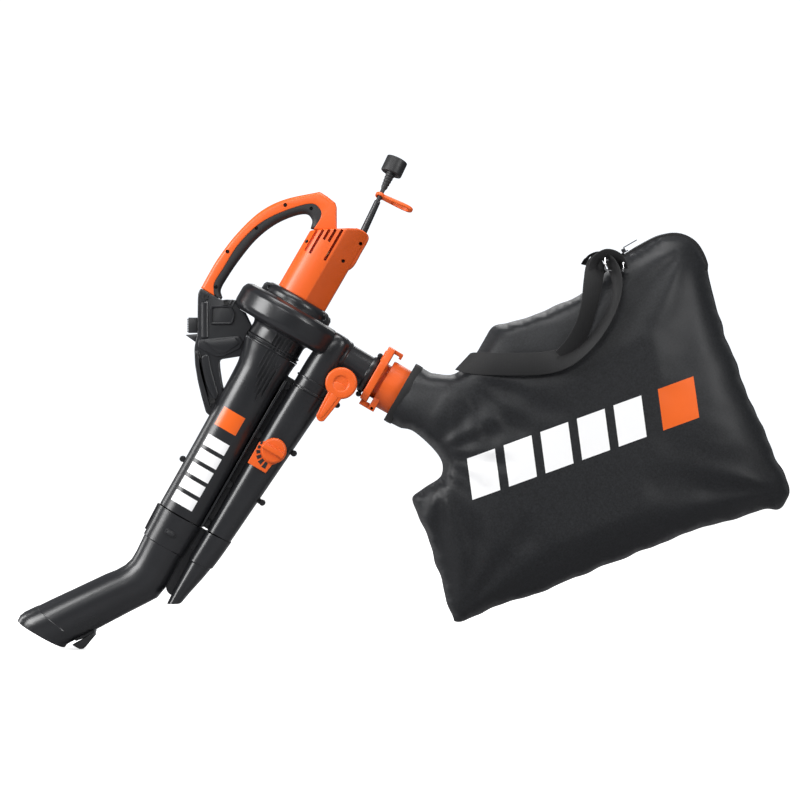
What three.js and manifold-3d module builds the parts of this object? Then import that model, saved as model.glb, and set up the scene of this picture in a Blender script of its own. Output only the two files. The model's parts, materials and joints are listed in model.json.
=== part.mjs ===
// Electric leaf blower, vacuum and mulcher with a collection bag, as an assembly of separate pieces.
// Millimetres, +Z up. The origin is the middle of the main grip. The tool leans in its working attitude:
// everything is laid out in the tool's own frame, whose Z axis is the motor shaft, pointing from the fan to
// the motor, and whose X axis points along the bag outlet. Y is across the tool, and the casings
// part at Y = 0.
import * as THREE from "three";
import { mergeVertices } from "three/addons/utils/BufferGeometryUtils.js";
import Module from "manifold-3d";

const wasm = await Module();
wasm.setup();

// ---- Driving dimensions ----
const LEAN = Math.PI / 6; // of the shaft, from upright
const GRIP = { x: -128, z: 91 }; // middle of the main grip in the tool frame
const WALL = 2.6; // moulded casings
const GAP = 0.35; // between pieces that touch
const REACH = 400; // longer than any piece is wide

const FAN = { radius: 94, top: 3, bottom: -46, wall: 3, ringTop: 22, neck: 48, neckEnd: -80 };
const SHAFT_RADIUS = 5;
const MOTOR_TOP = 154.7; // height of the level top of the motor casing, on the shaft axis
const BOSS_TOP = 171; // of the cord boss
const OUTLET = { z: -33, radius: 30, wall: 3, start: 108, end: 196 };
const PIVOT = { x: 133.7, z: -69 }; // diverter lever and flap
const FLAP_LENGTH = 55;
const KNOB = { x: 92, z: -224, radius: 21.5 };
const SLEEVE_TOP = -400; // where the nozzle starts
const COLLAR = { radius: 42, wall: 3.5, start: 193, end: 246 };
const NECK_BAND = { start: 226, end: 236, radius: 54.5 };
const BAG = { x: 520, z: 65, half: 75, wall: 2.5 }; // middle of the bag and half its thickness
const CORD = { x: 36.6, z: 172, radius: 3.75, lean: -0.087, back: 0.16 };

// ---- Materials ----
const material = (color, roughness, metalness = 0) =>
  new THREE.MeshStandardMaterial({ color, roughness, metalness });
const orange = material(0xef5f14, 0.45);
const black = material(0x2b2c2e, 0.42);
const softGrip = material(0x222426, 0.75);
const rubber = material(0x1f2022, 0.7);
const fabric = material(0x26292a, 0.9);
const webbing = material(0x1b1c1d, 0.85);
const steel = material(0x8b8d90, 0.35, 1);
const aluminium = material(0xa8abad, 0.4, 1);
const copper = material(0xb06a35, 0.35, 1);
const brass = material(0xb99a4a, 0.3, 1);

// ---- Making, joining and cutting solids ----
function solidOf(geometry) {
  const bare = geometry.index ? geometry.toNonIndexed() : geometry.clone();
  bare.deleteAttribute("normal");
  bare.deleteAttribute("uv");
  const merged = mergeVertices(bare, 1e-4);
  const triVerts = new Uint32Array(merged.index.array);
  const build = () =>
    new wasm.Manifold(
      new wasm.Mesh({ numProp: 3, vertProperties: merged.attributes.position.array, triVerts }),
    );
  const made = build();
  if (made.volume() > 0) return made;
  for (let i = 0; i < triVerts.length; i += 3) {
    [triVerts[i + 1], triVerts[i + 2]] = [triVerts[i + 2], triVerts[i + 1]];
  }
  return build();
}

function geometryOf(solid) {
  const mesh = solid.getMesh();
  const position = new Float32Array(mesh.numVert * 3);
  for (let i = 0; i < mesh.numVert; i++) {
    position.set(mesh.vertProperties.subarray(i * mesh.numProp, i * mesh.numProp + 3), i * 3);
  }
  const geometry = new THREE.BufferGeometry();
  geometry.setAttribute("position", new THREE.BufferAttribute(position, 3));
  geometry.setIndex(new THREE.BufferAttribute(mesh.triVerts, 1));
  geometry.computeVertexNormals();
  return geometry;
}

const join = (...solids) => solids.reduce((a, b) => a.add(b));
const cut = (solid, ...tools) => tools.reduce((a, b) => a.subtract(b), solid);

// A prism over an outline, which lies in the plane across the named axis.
function prism(axis, points, from, to) {
  const shape = new THREE.Shape(points.map(([a, b]) => new THREE.Vector2(a, b)));
  const geometry = new THREE.ExtrudeGeometry(shape, { depth: to - from, bevelEnabled: false });
  if (axis === "z") geometry.translate(0, 0, from);
  if (axis === "y") geometry.rotateX(Math.PI / 2).translate(0, to, 0);
  if (axis === "x") {
    geometry.applyMatrix4(new THREE.Matrix4().set(0, 0, 1, from, 1, 0, 0, 0, 0, 1, 0, 0, 0, 0, 0, 1));
  }
  return solidOf(geometry);
}

const plate = (points, y0, y1) => prism("y", points, y0, y1);

function block(x0, x1, y0, y1, z0, z1) {
  const geometry = new THREE.BoxGeometry(x1 - x0, y1 - y0, z1 - z0);
  return solidOf(geometry.translate((x0 + x1) / 2, (y0 + y1) / 2, (z0 + z1) / 2));
}

// A round bar or cone from one point to another.
function bar(radius, from, to, segments = 16, endRadius = radius) {
  const a = new THREE.Vector3(...from);
  const b = new THREE.Vector3(...to);
  const way = b.clone().sub(a);
  const geometry = new THREE.CylinderGeometry(endRadius, radius, way.length(), segments);
  const turn = new THREE.Quaternion().setFromUnitVectors(new THREE.Vector3(0, 1, 0), way.normalize());
  return solidOf(geometry.applyQuaternion(turn).translate(...a.add(b).multiplyScalar(0.5)));
}

const acrossBar = (radius, x, z, y0, y1, segments = 16) => bar(radius, [x, y0, z], [x, y1, z], segments);

// A solid turned about the shaft axis from a [radius, z] profile that starts and ends on the axis.
function turned(profile, segments = 40) {
  const points = profile.map(([r, z]) => new THREE.Vector2(r, z));
  return solidOf(new THREE.LatheGeometry(points, segments).rotateX(Math.PI / 2));
}

// A closed skin over rings of points, with flat ends.
function loft(rings) {
  const n = rings[0].length;
  const position = [];
  const triangle = (a, b, c) => position.push(...a.toArray(), ...b.toArray(), ...c.toArray());
  rings.slice(1).forEach((ring, k) => {
    for (let i = 0; i < n; i++) {
      const j = (i + 1) % n;
      triangle(rings[k][i], rings[k][j], ring[j]);
      triangle(rings[k][i], ring[j], ring[i]);
    }
  });
  [rings[0], rings.at(-1)].forEach((ring, end) => {
    const middle = ring.reduce((sum, p) => sum.add(p), new THREE.Vector3()).divideScalar(n);
    for (let i = 0; i < n; i++) {
      const pair = [ring[(i + 1) % n], ring[i]];
      if (end) pair.reverse();
      triangle(middle, ...pair);
    }
  });
  const geometry = new THREE.BufferGeometry();
  geometry.setAttribute("position", new THREE.Float32BufferAttribute(position, 3));
  return solidOf(geometry);
}

// A duct through stations. Each is [x and z of one side, x and z of the other, half its depth in Y], and its
// section is a superellipse: power 2 is round, and more is squarer.
function duct(stations, power = 2.6, segments = 24) {
  const round = (v) => Math.sign(v) * Math.abs(v) ** (2 / power);
  return loft(
    stations.map(([xa, za, xb, zb, half]) =>
      Array.from({ length: segments }, (_, i) => {
        const angle = (2 * Math.PI * i) / segments;
        const side = round(Math.cos(angle));
        const x = (xa + xb) / 2 + (side * (xb - xa)) / 2;
        const z = (za + zb) / 2 + (side * (zb - za)) / 2;
        return new THREE.Vector3(x, half * round(Math.sin(angle)), z);
      }),
    ),
  );
}

// Stations taken in by a wall (or out, where it is negative), with both ends run out along the duct.
function inset(stations, wall, runOut = 0) {
  const taken = stations.map(([xa, za, xb, zb, half]) => {
    const width = Math.hypot(xb - xa, zb - za);
    const [ux, uz] = [(wall * (xb - xa)) / width, (wall * (zb - za)) / width];
    return [xa + ux, za + uz, xb - ux, zb - uz, half - wall];
  });
  const slide = (from, to) => {
    const [dx, dz] = [(to[0] + to[2] - from[0] - from[2]) / 2, (to[1] + to[3] - from[1] - from[3]) / 2];
    const share = runOut / Math.hypot(dx, dz);
    return [to[0] + dx * share, to[1] + dz * share, to[2] + dx * share, to[3] + dz * share, to[4]];
  };
  if (!runOut) return taken;
  return [slide(taken[1], taken[0]), ...taken, slide(taken.at(-2), taken.at(-1))];
}

// An outline moved inwards by a distance, or outwards where it is negative.
function shrink(points, distance) {
  const area = points.reduce((sum, [x, y], i) => {
    const [nx, ny] = points[(i + 1) % points.length];
    return sum + x * ny - nx * y;
  }, 0);
  const turn = Math.sign(area);
  const normal = ([ax, ay], [bx, by]) => {
    const length = Math.hypot(bx - ax, by - ay);
    return [(-turn * (by - ay)) / length, (turn * (bx - ax)) / length];
  };
  return points.map((p, i) => {
    const before = normal(points.at(i - 1), p);
    const after = normal(p, points[(i + 1) % points.length]);
    const share = distance / (1 + before[0] * after[0] + before[1] * after[1]);
    return [p[0] + (before[0] + after[0]) * share, p[1] + (before[1] + after[1]) * share];
  });
}

const smooth = (points, count) =>
  new THREE.SplineCurve(points.map((p) => new THREE.Vector2(...p))).getPoints(count).map((p) => [p.x, p.y]);

// An upright box in world directions about a point of the tool frame.
function uprightBlock(x, z, [x0, x1, y0, y1, z0, z1]) {
  const geometry = new THREE.BoxGeometry(x1 - x0, y1 - y0, z1 - z0);
  geometry.translate((x0 + x1) / 2, (y0 + y1) / 2, (z0 + z1) / 2).rotateY(-LEAN).translate(x, 0, z);
  return solidOf(geometry);
}

// ---- The assembly ----
const tool = new THREE.Group();
tool.rotation.y = LEAN;
tool.position.set(GRIP.x, 0, GRIP.z).applyAxisAngle(new THREE.Vector3(0, 1, 0), LEAN).negate();

function add(name, solid, look) {
  const mesh = new THREE.Mesh(geometryOf(solid), look);
  mesh.name = name;
  tool.add(mesh);
}

// The two halves of a casing, which meet at Y = 0.
function addHalves(name, solid, look, ...wholeHoles) {
  const open = cut(solid, ...wholeHoles);
  const near = block(-REACH, 3 * REACH, -REACH, -GAP / 2, -2 * REACH, REACH);
  const far = block(-REACH, 3 * REACH, GAP / 2, REACH, -2 * REACH, REACH);
  add(name + "_left", open.intersect(near), look);
  add(name + "_right", open.intersect(far), look);
}

// ---- Fan housing: motor ring, fan chamber and inlet neck ----
function fanHousing() {
  const { radius, top, bottom, wall, ringTop, neck, neckEnd } = FAN;
  const outer = turned([
    [0, top], [82, top], [90, top - 4], [radius, -10], [radius, -36], [90, -42], [80, bottom], [neck, bottom],
    [neck, neckEnd + 4], [neck + 3, neckEnd + 4], [neck + 3, neckEnd], [0, neckEnd],
  ]);
  const chamber = turned([
    [0, top - wall], [81, top - wall], [radius - wall, -11], [radius - wall, -36], [80, bottom + wall],
    [neck - wall, bottom + wall], [neck - wall, neckEnd - 1], [0, neckEnd - 1],
  ]);
  const ring = turned([[0, top - 1], [60, top - 1], [60, 14], [56, 20], [50, ringTop], [0, ringTop]]);
  const ears = block(-63, 64, -30, 30, top - 1, 17);
  const motorSeat = bar(40, [0, 0, top], [0, 0, ringTop + 1], 32);
  const shaftHole = bar(14, [0, 0, -1], [0, 0, top + 1], 20);
  const outletWindow = block(70, radius + 10, -36, 36, bottom + 5, top - wall - 1);
  const flapRoom = block(80.5, radius + 10, -36, 36, bottom - 1, bottom + 6);
  const body = cut(join(outer, ring, ears), chamber, motorSeat, shaftHole, outletWindow, flapRoom);
  addHalves("fan_housing", body, black, ...mountScrews().map((screw) => screw.hole));
}

// A screw along Y with its head towards -Y, and the hole that clears it.
function screwAt(x, z, headY, shank, head = 4) {
  const solid = join(
    acrossBar(head, x, z, headY, headY + 2.4, 12),
    acrossBar(1.9, x, z, headY + 2, headY + shank, 8),
  );
  const hole = join(
    acrossBar(head + 0.5, x, z, headY - 30, headY + 2.4 + GAP, 12),
    acrossBar(1.9 + GAP, x, z, headY, headY + shank + 1, 8),
  );
  return { solid, hole };
}

const mountScrews = () => [screwAt(-53, 9, -28.5, 50), screwAt(53, 10, -28.5, 50)];

// ---- Diverter housing: takes the air down the blower tube or out to the bag ----
const DIVERTER_OUTLINE = [
  [62, -47], [78, -47], [78, 2], [102, 2], [113, -3], [119, -13], [141, -62], [150, -66], [150, -82],
  [141, -91], [128, -94], [127.5, -111], [62, -111],
];

function diverterHousing() {
  const halfDepth = 44;
  const { z, radius, wall, start, end } = OUTLET;
  const body = plate(DIVERTER_OUTLINE, -halfDepth, halfDepth);
  const pipe = bar(radius, [start, 0, z], [end, 0, z], 32);
  const lugs = [1, -1].map((up) =>
    join(
      acrossBar(4.5, 167, z + up * 37, -9, 9, 12),
      block(164, 170, -7, 7, ...[z + up * 28, z + up * 36].sort((a, b) => a - b)),
    ),
  );
  const boss = acrossBar(6, 145, -105, -8, 8, 12);
  const bossWeb = block(124, 142, -4, 4, -108, -92);
  const inside = plate([
    [77.6, -66], [78.6, -58], [80.6, -51], [81, -1], [101, -1], [110.5, -5], [116, -14], [138, -62],
    [146, -69],
    [138, -84], [124.5, -90], [124.5, -115], [66, -115], [66, -92], [77.6, -74],
  ], -halfDepth + WALL, halfDepth - WALL);
  const inlet = block(70, 100, -36, 36, FAN.bottom + 5, -1);
  const bore = bar(radius - wall, [start, 0, z], [end + 1, 0, z], 32);
  const drum = bar(FAN.radius + GAP, [0, 0, FAN.bottom - GAP], [0, 0, REACH], 80);
  const shaftHole = acrossBar(SHAFT_RADIUS + GAP, PIVOT.x, PIVOT.z, -60, 60);
  addHalves(
    "diverter_housing",
    cut(join(body, pipe, ...lugs, boss, bossWeb), inside, inlet, bore, drum, shaftHole),
    black,
  );
}

// ---- The two ducts, moulded as one pair of shells ----
const SUCTION = [
  [-48, -80.4, 48, -80.4, 48],
  [-38, -132, 46, -132, 45],
  [-33, -398, 50, -398, 43],
];
const SUCTION_SPIGOT = [
  [-28.5, -397, 46, -397, 39],
  [-27.5, -440, 45, -440, 38],
];
const BLOWER = [
  [61, -111.4, 126, -111.4, 36],
  [60, -395, 105, -395, 30],
];
const BLOWER_SPIGOT = [
  [63.5, -394, 100.5, -394, 26],
  [63.5, -440, 98, -440, 25.5],
];
const SEAM_BOSSES = [-120, -215, -312, -387];
const SEAM_SCREWS = [SEAM_BOSSES[0], SEAM_BOSSES[3]];
const SEAM_X = 54.6;

// The suction duct carries the seam that the blower duct lies against.
function ductTubes() {
  const suctionOutside = join(
    duct(SUCTION, 2.3),
    duct(SUCTION_SPIGOT, 2.3),
    block(40, 66, -5, 5, -397, -111.4),
    ...SEAM_BOSSES.map((z) => acrossBar(6, SEAM_X, z, -13, 13, 12)),
    lug(-36, -315, 12),
  );
  const suctionPath = [...SUCTION.slice(0, 2), SUCTION_SPIGOT[0], SUCTION_SPIGOT[1]];
  const blowerRoom = [...inset(BLOWER, -GAP, 5)];
  addHalves(
    "suction_duct",
    cut(
      suctionOutside,
      duct(inset(suctionPath, WALL, 3), 2.3),
      duct(blowerRoom, 3),
      ...SEAM_SCREWS.map((z) => seamScrew(z).hole),
    ),
    black,
  );
  const blowerOutside = join(
    duct(BLOWER, 3),
    duct(BLOWER_SPIGOT, 3),
    lug(124, -213, -14),
    lug(118, -312, -14),
  );
  const blowerPath = [BLOWER[0], ...BLOWER_SPIGOT];
  const vents = ventWindows(-60, 0);
  const spindle = acrossBar(4 + GAP, KNOB.x, KNOB.z, -60, 0, 12);
  addHalves("blower_duct", cut(blowerOutside, duct(inset(blowerPath, WALL, 3), 3), ...vents, spindle), black);
}

// A round lug standing out from the side of a duct on a web.
const lug = (x, z, inwards) =>
  join(
    acrossBar(5.5, x, z, -7, 7, 12),
    block(Math.min(x, x + inwards), Math.max(x, x + inwards), -5, 5, z - 5, z + 5),
  );

const seamScrew = (z) => screwAt(SEAM_X, z, -12, 22, 3.6);

function screws() {
  SEAM_SCREWS.forEach((z, i) => add("seam_screw_" + (i + 1), seamScrew(z).solid, steel));
  mountScrews().forEach(({ solid }, i) => add("mount_screw_" + (i + 1), solid, steel));
}

// ---- Air control: knob, scale plate and shutter on the blower tube ----
// Windows around the knob, which the shutter covers or opens.
function ventWindows(y0, y1) {
  return [200, 225, 250].map((degrees) => {
    const angle = (degrees * Math.PI) / 180;
    const [x, z] = [KNOB.x + 27 * Math.cos(angle), KNOB.z + 27 * Math.sin(angle)];
    return block(x - 4, x + 4, y0, y1, z - 1.8, z + 1.8);
  });
}

function airControl() {
  const spindle = (extra) => acrossBar(4 + extra, KNOB.x, KNOB.z, -60, 0, 12);
  const seat = plate([[63.5, -264], [99, -264], [101, -247], [107, -240], [107, -210], [86, -205],
    [63.5, -224]], -38, -22);
  add("vent_plate", cut(seat, duct(inset(BLOWER, -GAP, 1), 3), ...ventWindows(-60, 0), spindle(GAP)), orange);
  const knob = join(
    acrossBar(KNOB.radius, KNOB.x, KNOB.z, -46, -38.5, 32),
    block(KNOB.x - 19, KNOB.x + 19, -54, -45, KNOB.z - 4, KNOB.z + 4),
  );
  add("air_knob", knob, orange);
  const shutter = join(
    acrossBar(4, KNOB.x, KNOB.z, -38.2, -20, 12),
    acrossBar(11, KNOB.x, KNOB.z, -23.6, -21.6, 24),
  );
  add("vent_shutter", shutter, black);
}

// ---- Diverter lever and flap ----
function diverter() {
  const leverArm = [[-12, -14], [-9.5, -66], [-4.5, -73], [3, -73], [7, -67], [13, -18], [10, 0], [-10, 0]];
  const disc = acrossBar(26.8, PIVOT.x, PIVOT.z, -57, -47, 36);
  const arm = plate(leverArm.map(([x, z]) => [PIVOT.x + x, PIVOT.z + z]), -56, -48);
  const dish = acrossBar(12.5, PIVOT.x, PIVOT.z, -58, -54, 24);
  add("diverter_lever", cut(join(disc, arm), dish), orange);
  const flap = join(
    block(PIVOT.x - FLAP_LENGTH, PIVOT.x, -35, 35, PIVOT.z - 1.5, PIVOT.z + 1.5),
    acrossBar(7, PIVOT.x, PIVOT.z, -38, 38, 16),
    acrossBar(SHAFT_RADIUS, PIVOT.x, PIVOT.z, -47 + GAP, 46, 16),
  );
  add("diverter_flap", flap, black);
}

// ---- Motor housing ----
const MOTOR_SECTION = [
  [-43, 0], [-42, -16], [-36, -31], [-26, -41], [-12, -46], [12, -46], [47, -17], [47, 17], [12, 46],
  [-12, 46], [-26, 41], [-36, 31], [-42, 16],
];
const VENT_SLOTS = [[-31, 94, 134], [-22, 94, 139], [-13, 126, 145], [-4, 127, 150], [6, 96, 155]];
const cordPoint = (along) => [
  CORD.x + CORD.lean * along,
  CORD.back * Math.max(0, along - 60),
  CORD.z + along,
];

function motorHousing() {
  const base = FAN.ringTop + GAP;
  const rise = Math.tan(LEAN);
  const above = (drop) => {
    const line = MOTOR_TOP - drop;
    const corner = (BOSS_TOP - drop - line) / rise;
    return plate([
      [-80, line - 80 * rise], [corner, BOSS_TOP - drop], [90, BOSS_TOP - drop], [90, 300], [-80, 300],
    ], -80, 80);
  };
  const boss = [[20, 85], [36, 92], [43.5, 98], [51.5, 113], [51, 165], [49, 175], [20, 175]];
  const outer = join(prism("z", MOTOR_SECTION, base, 200), plate(boss, -14, 14));
  const inner = join(
    prism("z", shrink(MOTOR_SECTION, WALL), 31 + GAP, 123.6),
    prism("z", shrink(MOTOR_SECTION, WALL), 131.4, 200),
    plate(shrink(boss, WALL), -14 + WALL, 14 - WALL),
    bar(11 + GAP, [0, 0, 23.6], [0, 0, 40], 28),
    bar(9 + GAP, [0, 0, 100], [0, 0, 150], 28),
    bar(8, [0, 0, 10], [0, 0, 40], 20),
  );
  const slots = VENT_SLOTS.map(([x, z0, z1]) => block(x - 1.8, x + 1.8, -80, 80, z0, z1));
  const exit = bar(7.2, cordPoint(-12), cordPoint(12), 16);
  addHalves("motor_housing", cut(outer, above(0), cut(inner, above(WALL)), ...slots, exit), orange);
}

// ---- Motor: rotor, stator, bearings, brushes and fans ----
function motor() {
  add("rotor_shaft", bar(SHAFT_RADIUS, [0, 0, -44], [0, 0, 134], 20), steel);
  const around = (radius, z0, z1, hole = SHAFT_RADIUS + GAP, segments = 28) =>
    cut(bar(radius, [0, 0, z0], [0, 0, z1], segments), bar(hole, [0, 0, z0 - 1], [0, 0, z1 + 1], 20));
  add("armature_core", around(22, 48, 92), steel);
  add("commutator", around(13, 100, 118), copper);
  add("front_bearing", around(11, 24, 31), steel);
  add("rear_bearing", around(9, 124, 131), steel);
  const flats = [block(-50, 50, 31, 50, 40, 100), block(-50, 50, -50, -31, 40, 100)];
  add("stator_core", cut(around(37, 46, 94, 24, 36), ...flats), steel);
  [-1, 1].forEach((side) => {
    const [a, b] = [side * 14, side * 43].sort((p, q) => p - q);
    add(side < 0 ? "brush_holder_left" : "brush_holder_right", block(-5, 5, a, b, 104, 114), brass);
  });
  const blades = (count, radius, z0, z1, thick) =>
    Array.from({ length: count }, (_, i) => {
      const blade = new THREE.BoxGeometry(radius - 12, thick, z1 - z0);
      blade.translate((radius + 12) / 2, 0, (z0 + z1) / 2).rotateZ((2 * Math.PI * i) / count);
      return solidOf(blade);
    });
  const coolingFan = cut(join(around(33, 35, 37), around(12.5, 35, 43), ...blades(8, 32.5, 36, 44, 1.6)),
    bar(SHAFT_RADIUS + GAP, [0, 0, 30], [0, 0, 50], 20));
  add("cooling_fan", coolingFan, black);
  const impeller = cut(
    join(around(80, -11, -8.5, SHAFT_RADIUS + GAP, 40), around(14, -34, -9), ...blades(8, 78, -36, -10, 2.4)),
    bar(SHAFT_RADIUS + GAP, [0, 0, -50], [0, 0, 0], 20),
  );
  add("impeller", impeller, aluminium);
  const shredder = cut(
    block(-38, 38, -7, 7, -40, -37),
    bar(SHAFT_RADIUS + GAP, [0, 0, -50], [0, 0, 0], 20),
  );
  add("mulching_blade", shredder, steel);
  add("impeller_nut", around(9.5, -48, -40.5, SHAFT_RADIUS + GAP, 6), steel);
}

// ---- Main handle and its soft inner grip ----
const HANDLE_OUTER = [
  [-61, 194], [-106, 153], [-132, 113.5], [-147.5, 61], [-154, 11], [-154.6, -24], [-154, -48],
];
const HANDLE_MIDDLE = [
  [-38, 133.5], [-37.5, 156], [-45, 168], [-64, 168.5], [-96, 136], [-122, 96], [-135.6, 46.5], [-137.5, 0],
  [-138, -30], [-128, -48],
];
const HANDLE_INNER = [
  [-43.6, 132.5], [-48.5, 145.5], [-62.5, 150], [-82, 133.5], [-101.5, 105], [-115.5, 68], [-122.5, 25],
  [-125, -8], [-124.5, -33], [-116, -43.5],
];

function mainHandle() {
  const outer = [[-4, 152.9], [-26, 190.5], ...smooth(HANDLE_OUTER, 14)];
  const middle = smooth(HANDLE_MIDDLE, 22);
  const inner = smooth(HANDLE_INNER, 22);
  const shellOutline = [...outer, ...[...middle].reverse()];
  const hollow = plate(shrink(shellOutline, WALL), -17 + WALL, 17 - WALL);
  addHalves("main_handle", cut(plate(shellOutline, -17, 17), hollow), orange);
  const gripOutline = shrink([...middle, [-116, -48], ...[...inner].reverse()], GAP);
  const gripHollow = plate(shrink(gripOutline, WALL), -16 + WALL, 16 - WALL);
  addHalves("inner_grip", cut(plate(gripOutline, -16, 16), gripHollow), softGrip);
}

// ---- Lower handle: switch casing, strut and second grip ----
const LOWER_HANDLE = [
  [-154, -48.4], [-128, -48.4], [-113, -48.4], [-106, -43], [-88, -34], [-60, -52], [-40, -66], [-38, -84],
  [-34, -111], [-67, -137.8], [-59, -150], [-44, -169], [-28, -184], [-26, -240], [-34.4, -233.5],
  [-61, -207],
  [-80, -187], [-98, -165], [-113, -142], [-116.4, -132.3], [-137.3, -130.3], [-119.6, -118.2], [-140.7, -82],
  [-147.4, -68.6], [-156, -69], [-152, -55],
];
const SWITCH = { x: -120, z: -117.4 }; // foot of the switch's track, on the front of the casing

function lowerHandle() {
  const fanClear = turned([
    [0, 10], [FAN.radius + GAP, 10], [FAN.radius + GAP, -36], [90 + GAP, -42 - GAP], [80 + GAP, -46 - GAP],
    [FAN.neck + 3 + GAP, -46 - GAP], [FAN.neck + 3 + GAP, FAN.neckEnd - GAP], [0, FAN.neckEnd - GAP],
  ]);
  const tubeClear = duct(inset(SUCTION, -GAP, 2), 2.3);
  const track = uprightBlock(SWITCH.x, SWITCH.z, [-1, 7, -5, 5, 1, 40]);
  const body = cut(plate(LOWER_HANDLE, -19, 19), fanClear, tubeClear);
  const hollow = cut(
    plate(shrink(LOWER_HANDLE, 3), -16, 16),
    turned([[0, 10], [FAN.radius + 4, 10], [FAN.radius + 4, -38], [84, -50], [55, -50], [55, -84], [0, -84]]),
    duct(inset(SUCTION, -3.5, 5), 2.3),
  );
  addHalves("lower_handle", cut(body, hollow, track), black);
  const contacts = uprightBlock(SWITCH.x, SWITCH.z, [9, 24, -8, 8, 3, 37]);
  add("switch_module", contacts, black);
}

function switchSlider() {
  const ribs = Array.from({ length: 5 }, (_, i) => [-17 - 1.6, -17, -8, 8, 3 + 5 * i, 5.4 + 5 * i]);
  const slider = join(
    uprightBlock(SWITCH.x, SWITCH.z, [-17.2, -1.5, -8, 8, 1, 27]),
    uprightBlock(SWITCH.x, SWITCH.z, [-2, 6, -4.2, 4.2, 2, 26]),
    ...ribs.map((rib) => uprightBlock(SWITCH.x, SWITCH.z, rib)),
  );
  add("switch_slider", slider, black);
}

// ---- Nozzle: pulls off both ducts as one piece ----
const SUCTION_SLEEVE = [
  [-32.5, SLEEVE_TOP, 50, SLEEVE_TOP, 43.5],
  [-30.5, -457, 48.5, -457, 42.5],
];
const SUCTION_NOZZLE = [
  [-28.5, -455, 46.5, -455, 41],
  [-25.5, -498, 49, -503, 42],
  [-30, -520, 44, -541, 43],
  [-50, -548, 18, -582, 44.5],
  [-84, -596, -15, -634, 46],
  [-122, -650, -34, -669, 48],
  [-143, -682, -48, -684, 48.5],
  [-142, -692, -50, -692, 48],
];
const BLOWER_SLEEVE = [
  [58.5, SLEEVE_TOP, 105.5, -396.5, 31.5],
  [58, -457, 100, -452, 30.5],
];
const BLOWER_TIP = [
  [60, -455, 98, -450, 29],
  [60.5, -490, 91.5, -485, 31],
  [63.5, -540, 84, -528, 34],
];

function nozzle() {
  const suctionPocket = inset(SUCTION_SPIGOT, -0.8);
  suctionPocket[0][1] = suctionPocket[0][3] = -390;
  suctionPocket[1][1] = suctionPocket[1][3] = -442;
  const blowerPocket = inset(BLOWER_SPIGOT, -0.8);
  blowerPocket[0][1] = blowerPocket[0][3] = -380;
  blowerPocket[1][1] = blowerPocket[1][3] = -442;
  const suctionInside = [[-26, -440, 43.5, -440, 37], ...inset(SUCTION_NOZZLE, WALL, 3).slice(2)];
  const blowerInside = [[64, -440, 95, -440, 25], ...inset(BLOWER_TIP, WALL, 4).slice(2)];
  const buttonSlot = block(3.7, 22.3, -60, -40, -436, -427.5);
  const bridge = block(42, 57.6, -7, 7, -457, SLEEVE_TOP);
  const buttonFrame = block(2, 24, -47, -38, -438, -425);
  const outside = join(duct(SUCTION_SLEEVE, 2.3), duct(SUCTION_NOZZLE, 2.5), bridge, buttonFrame);
  const blowerOutside = join(duct(BLOWER_SLEEVE, 3), duct(BLOWER_TIP, 3));
  const blowerRoom = duct(inset(BLOWER_SLEEVE, -GAP), 3);
  const body = cut(outside, duct(suctionPocket, 2.3), duct(suctionInside, 2.5), blowerRoom, buttonSlot);
  add("nozzle_duct", body, black);
  const suctionRoom = duct(inset(SUCTION_SLEEVE, -GAP), 2.3);
  add("blower_tip", cut(blowerOutside, duct(blowerPocket, 3), duct(blowerInside, 3), suctionRoom), black);
  add("nozzle_latch_button", block(4.5, 21.5, -49.5, -43.5, -435.2, -428.3), black);
  const foot = [[-19, -644.2], [-15.5, -650], [-20.5, -677], [-25.5, -680.5], [-40.5, -681], [-33.2, -669.5]];
  add("ground_foot", plate(foot, -20, 20), rubber);
}

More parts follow.
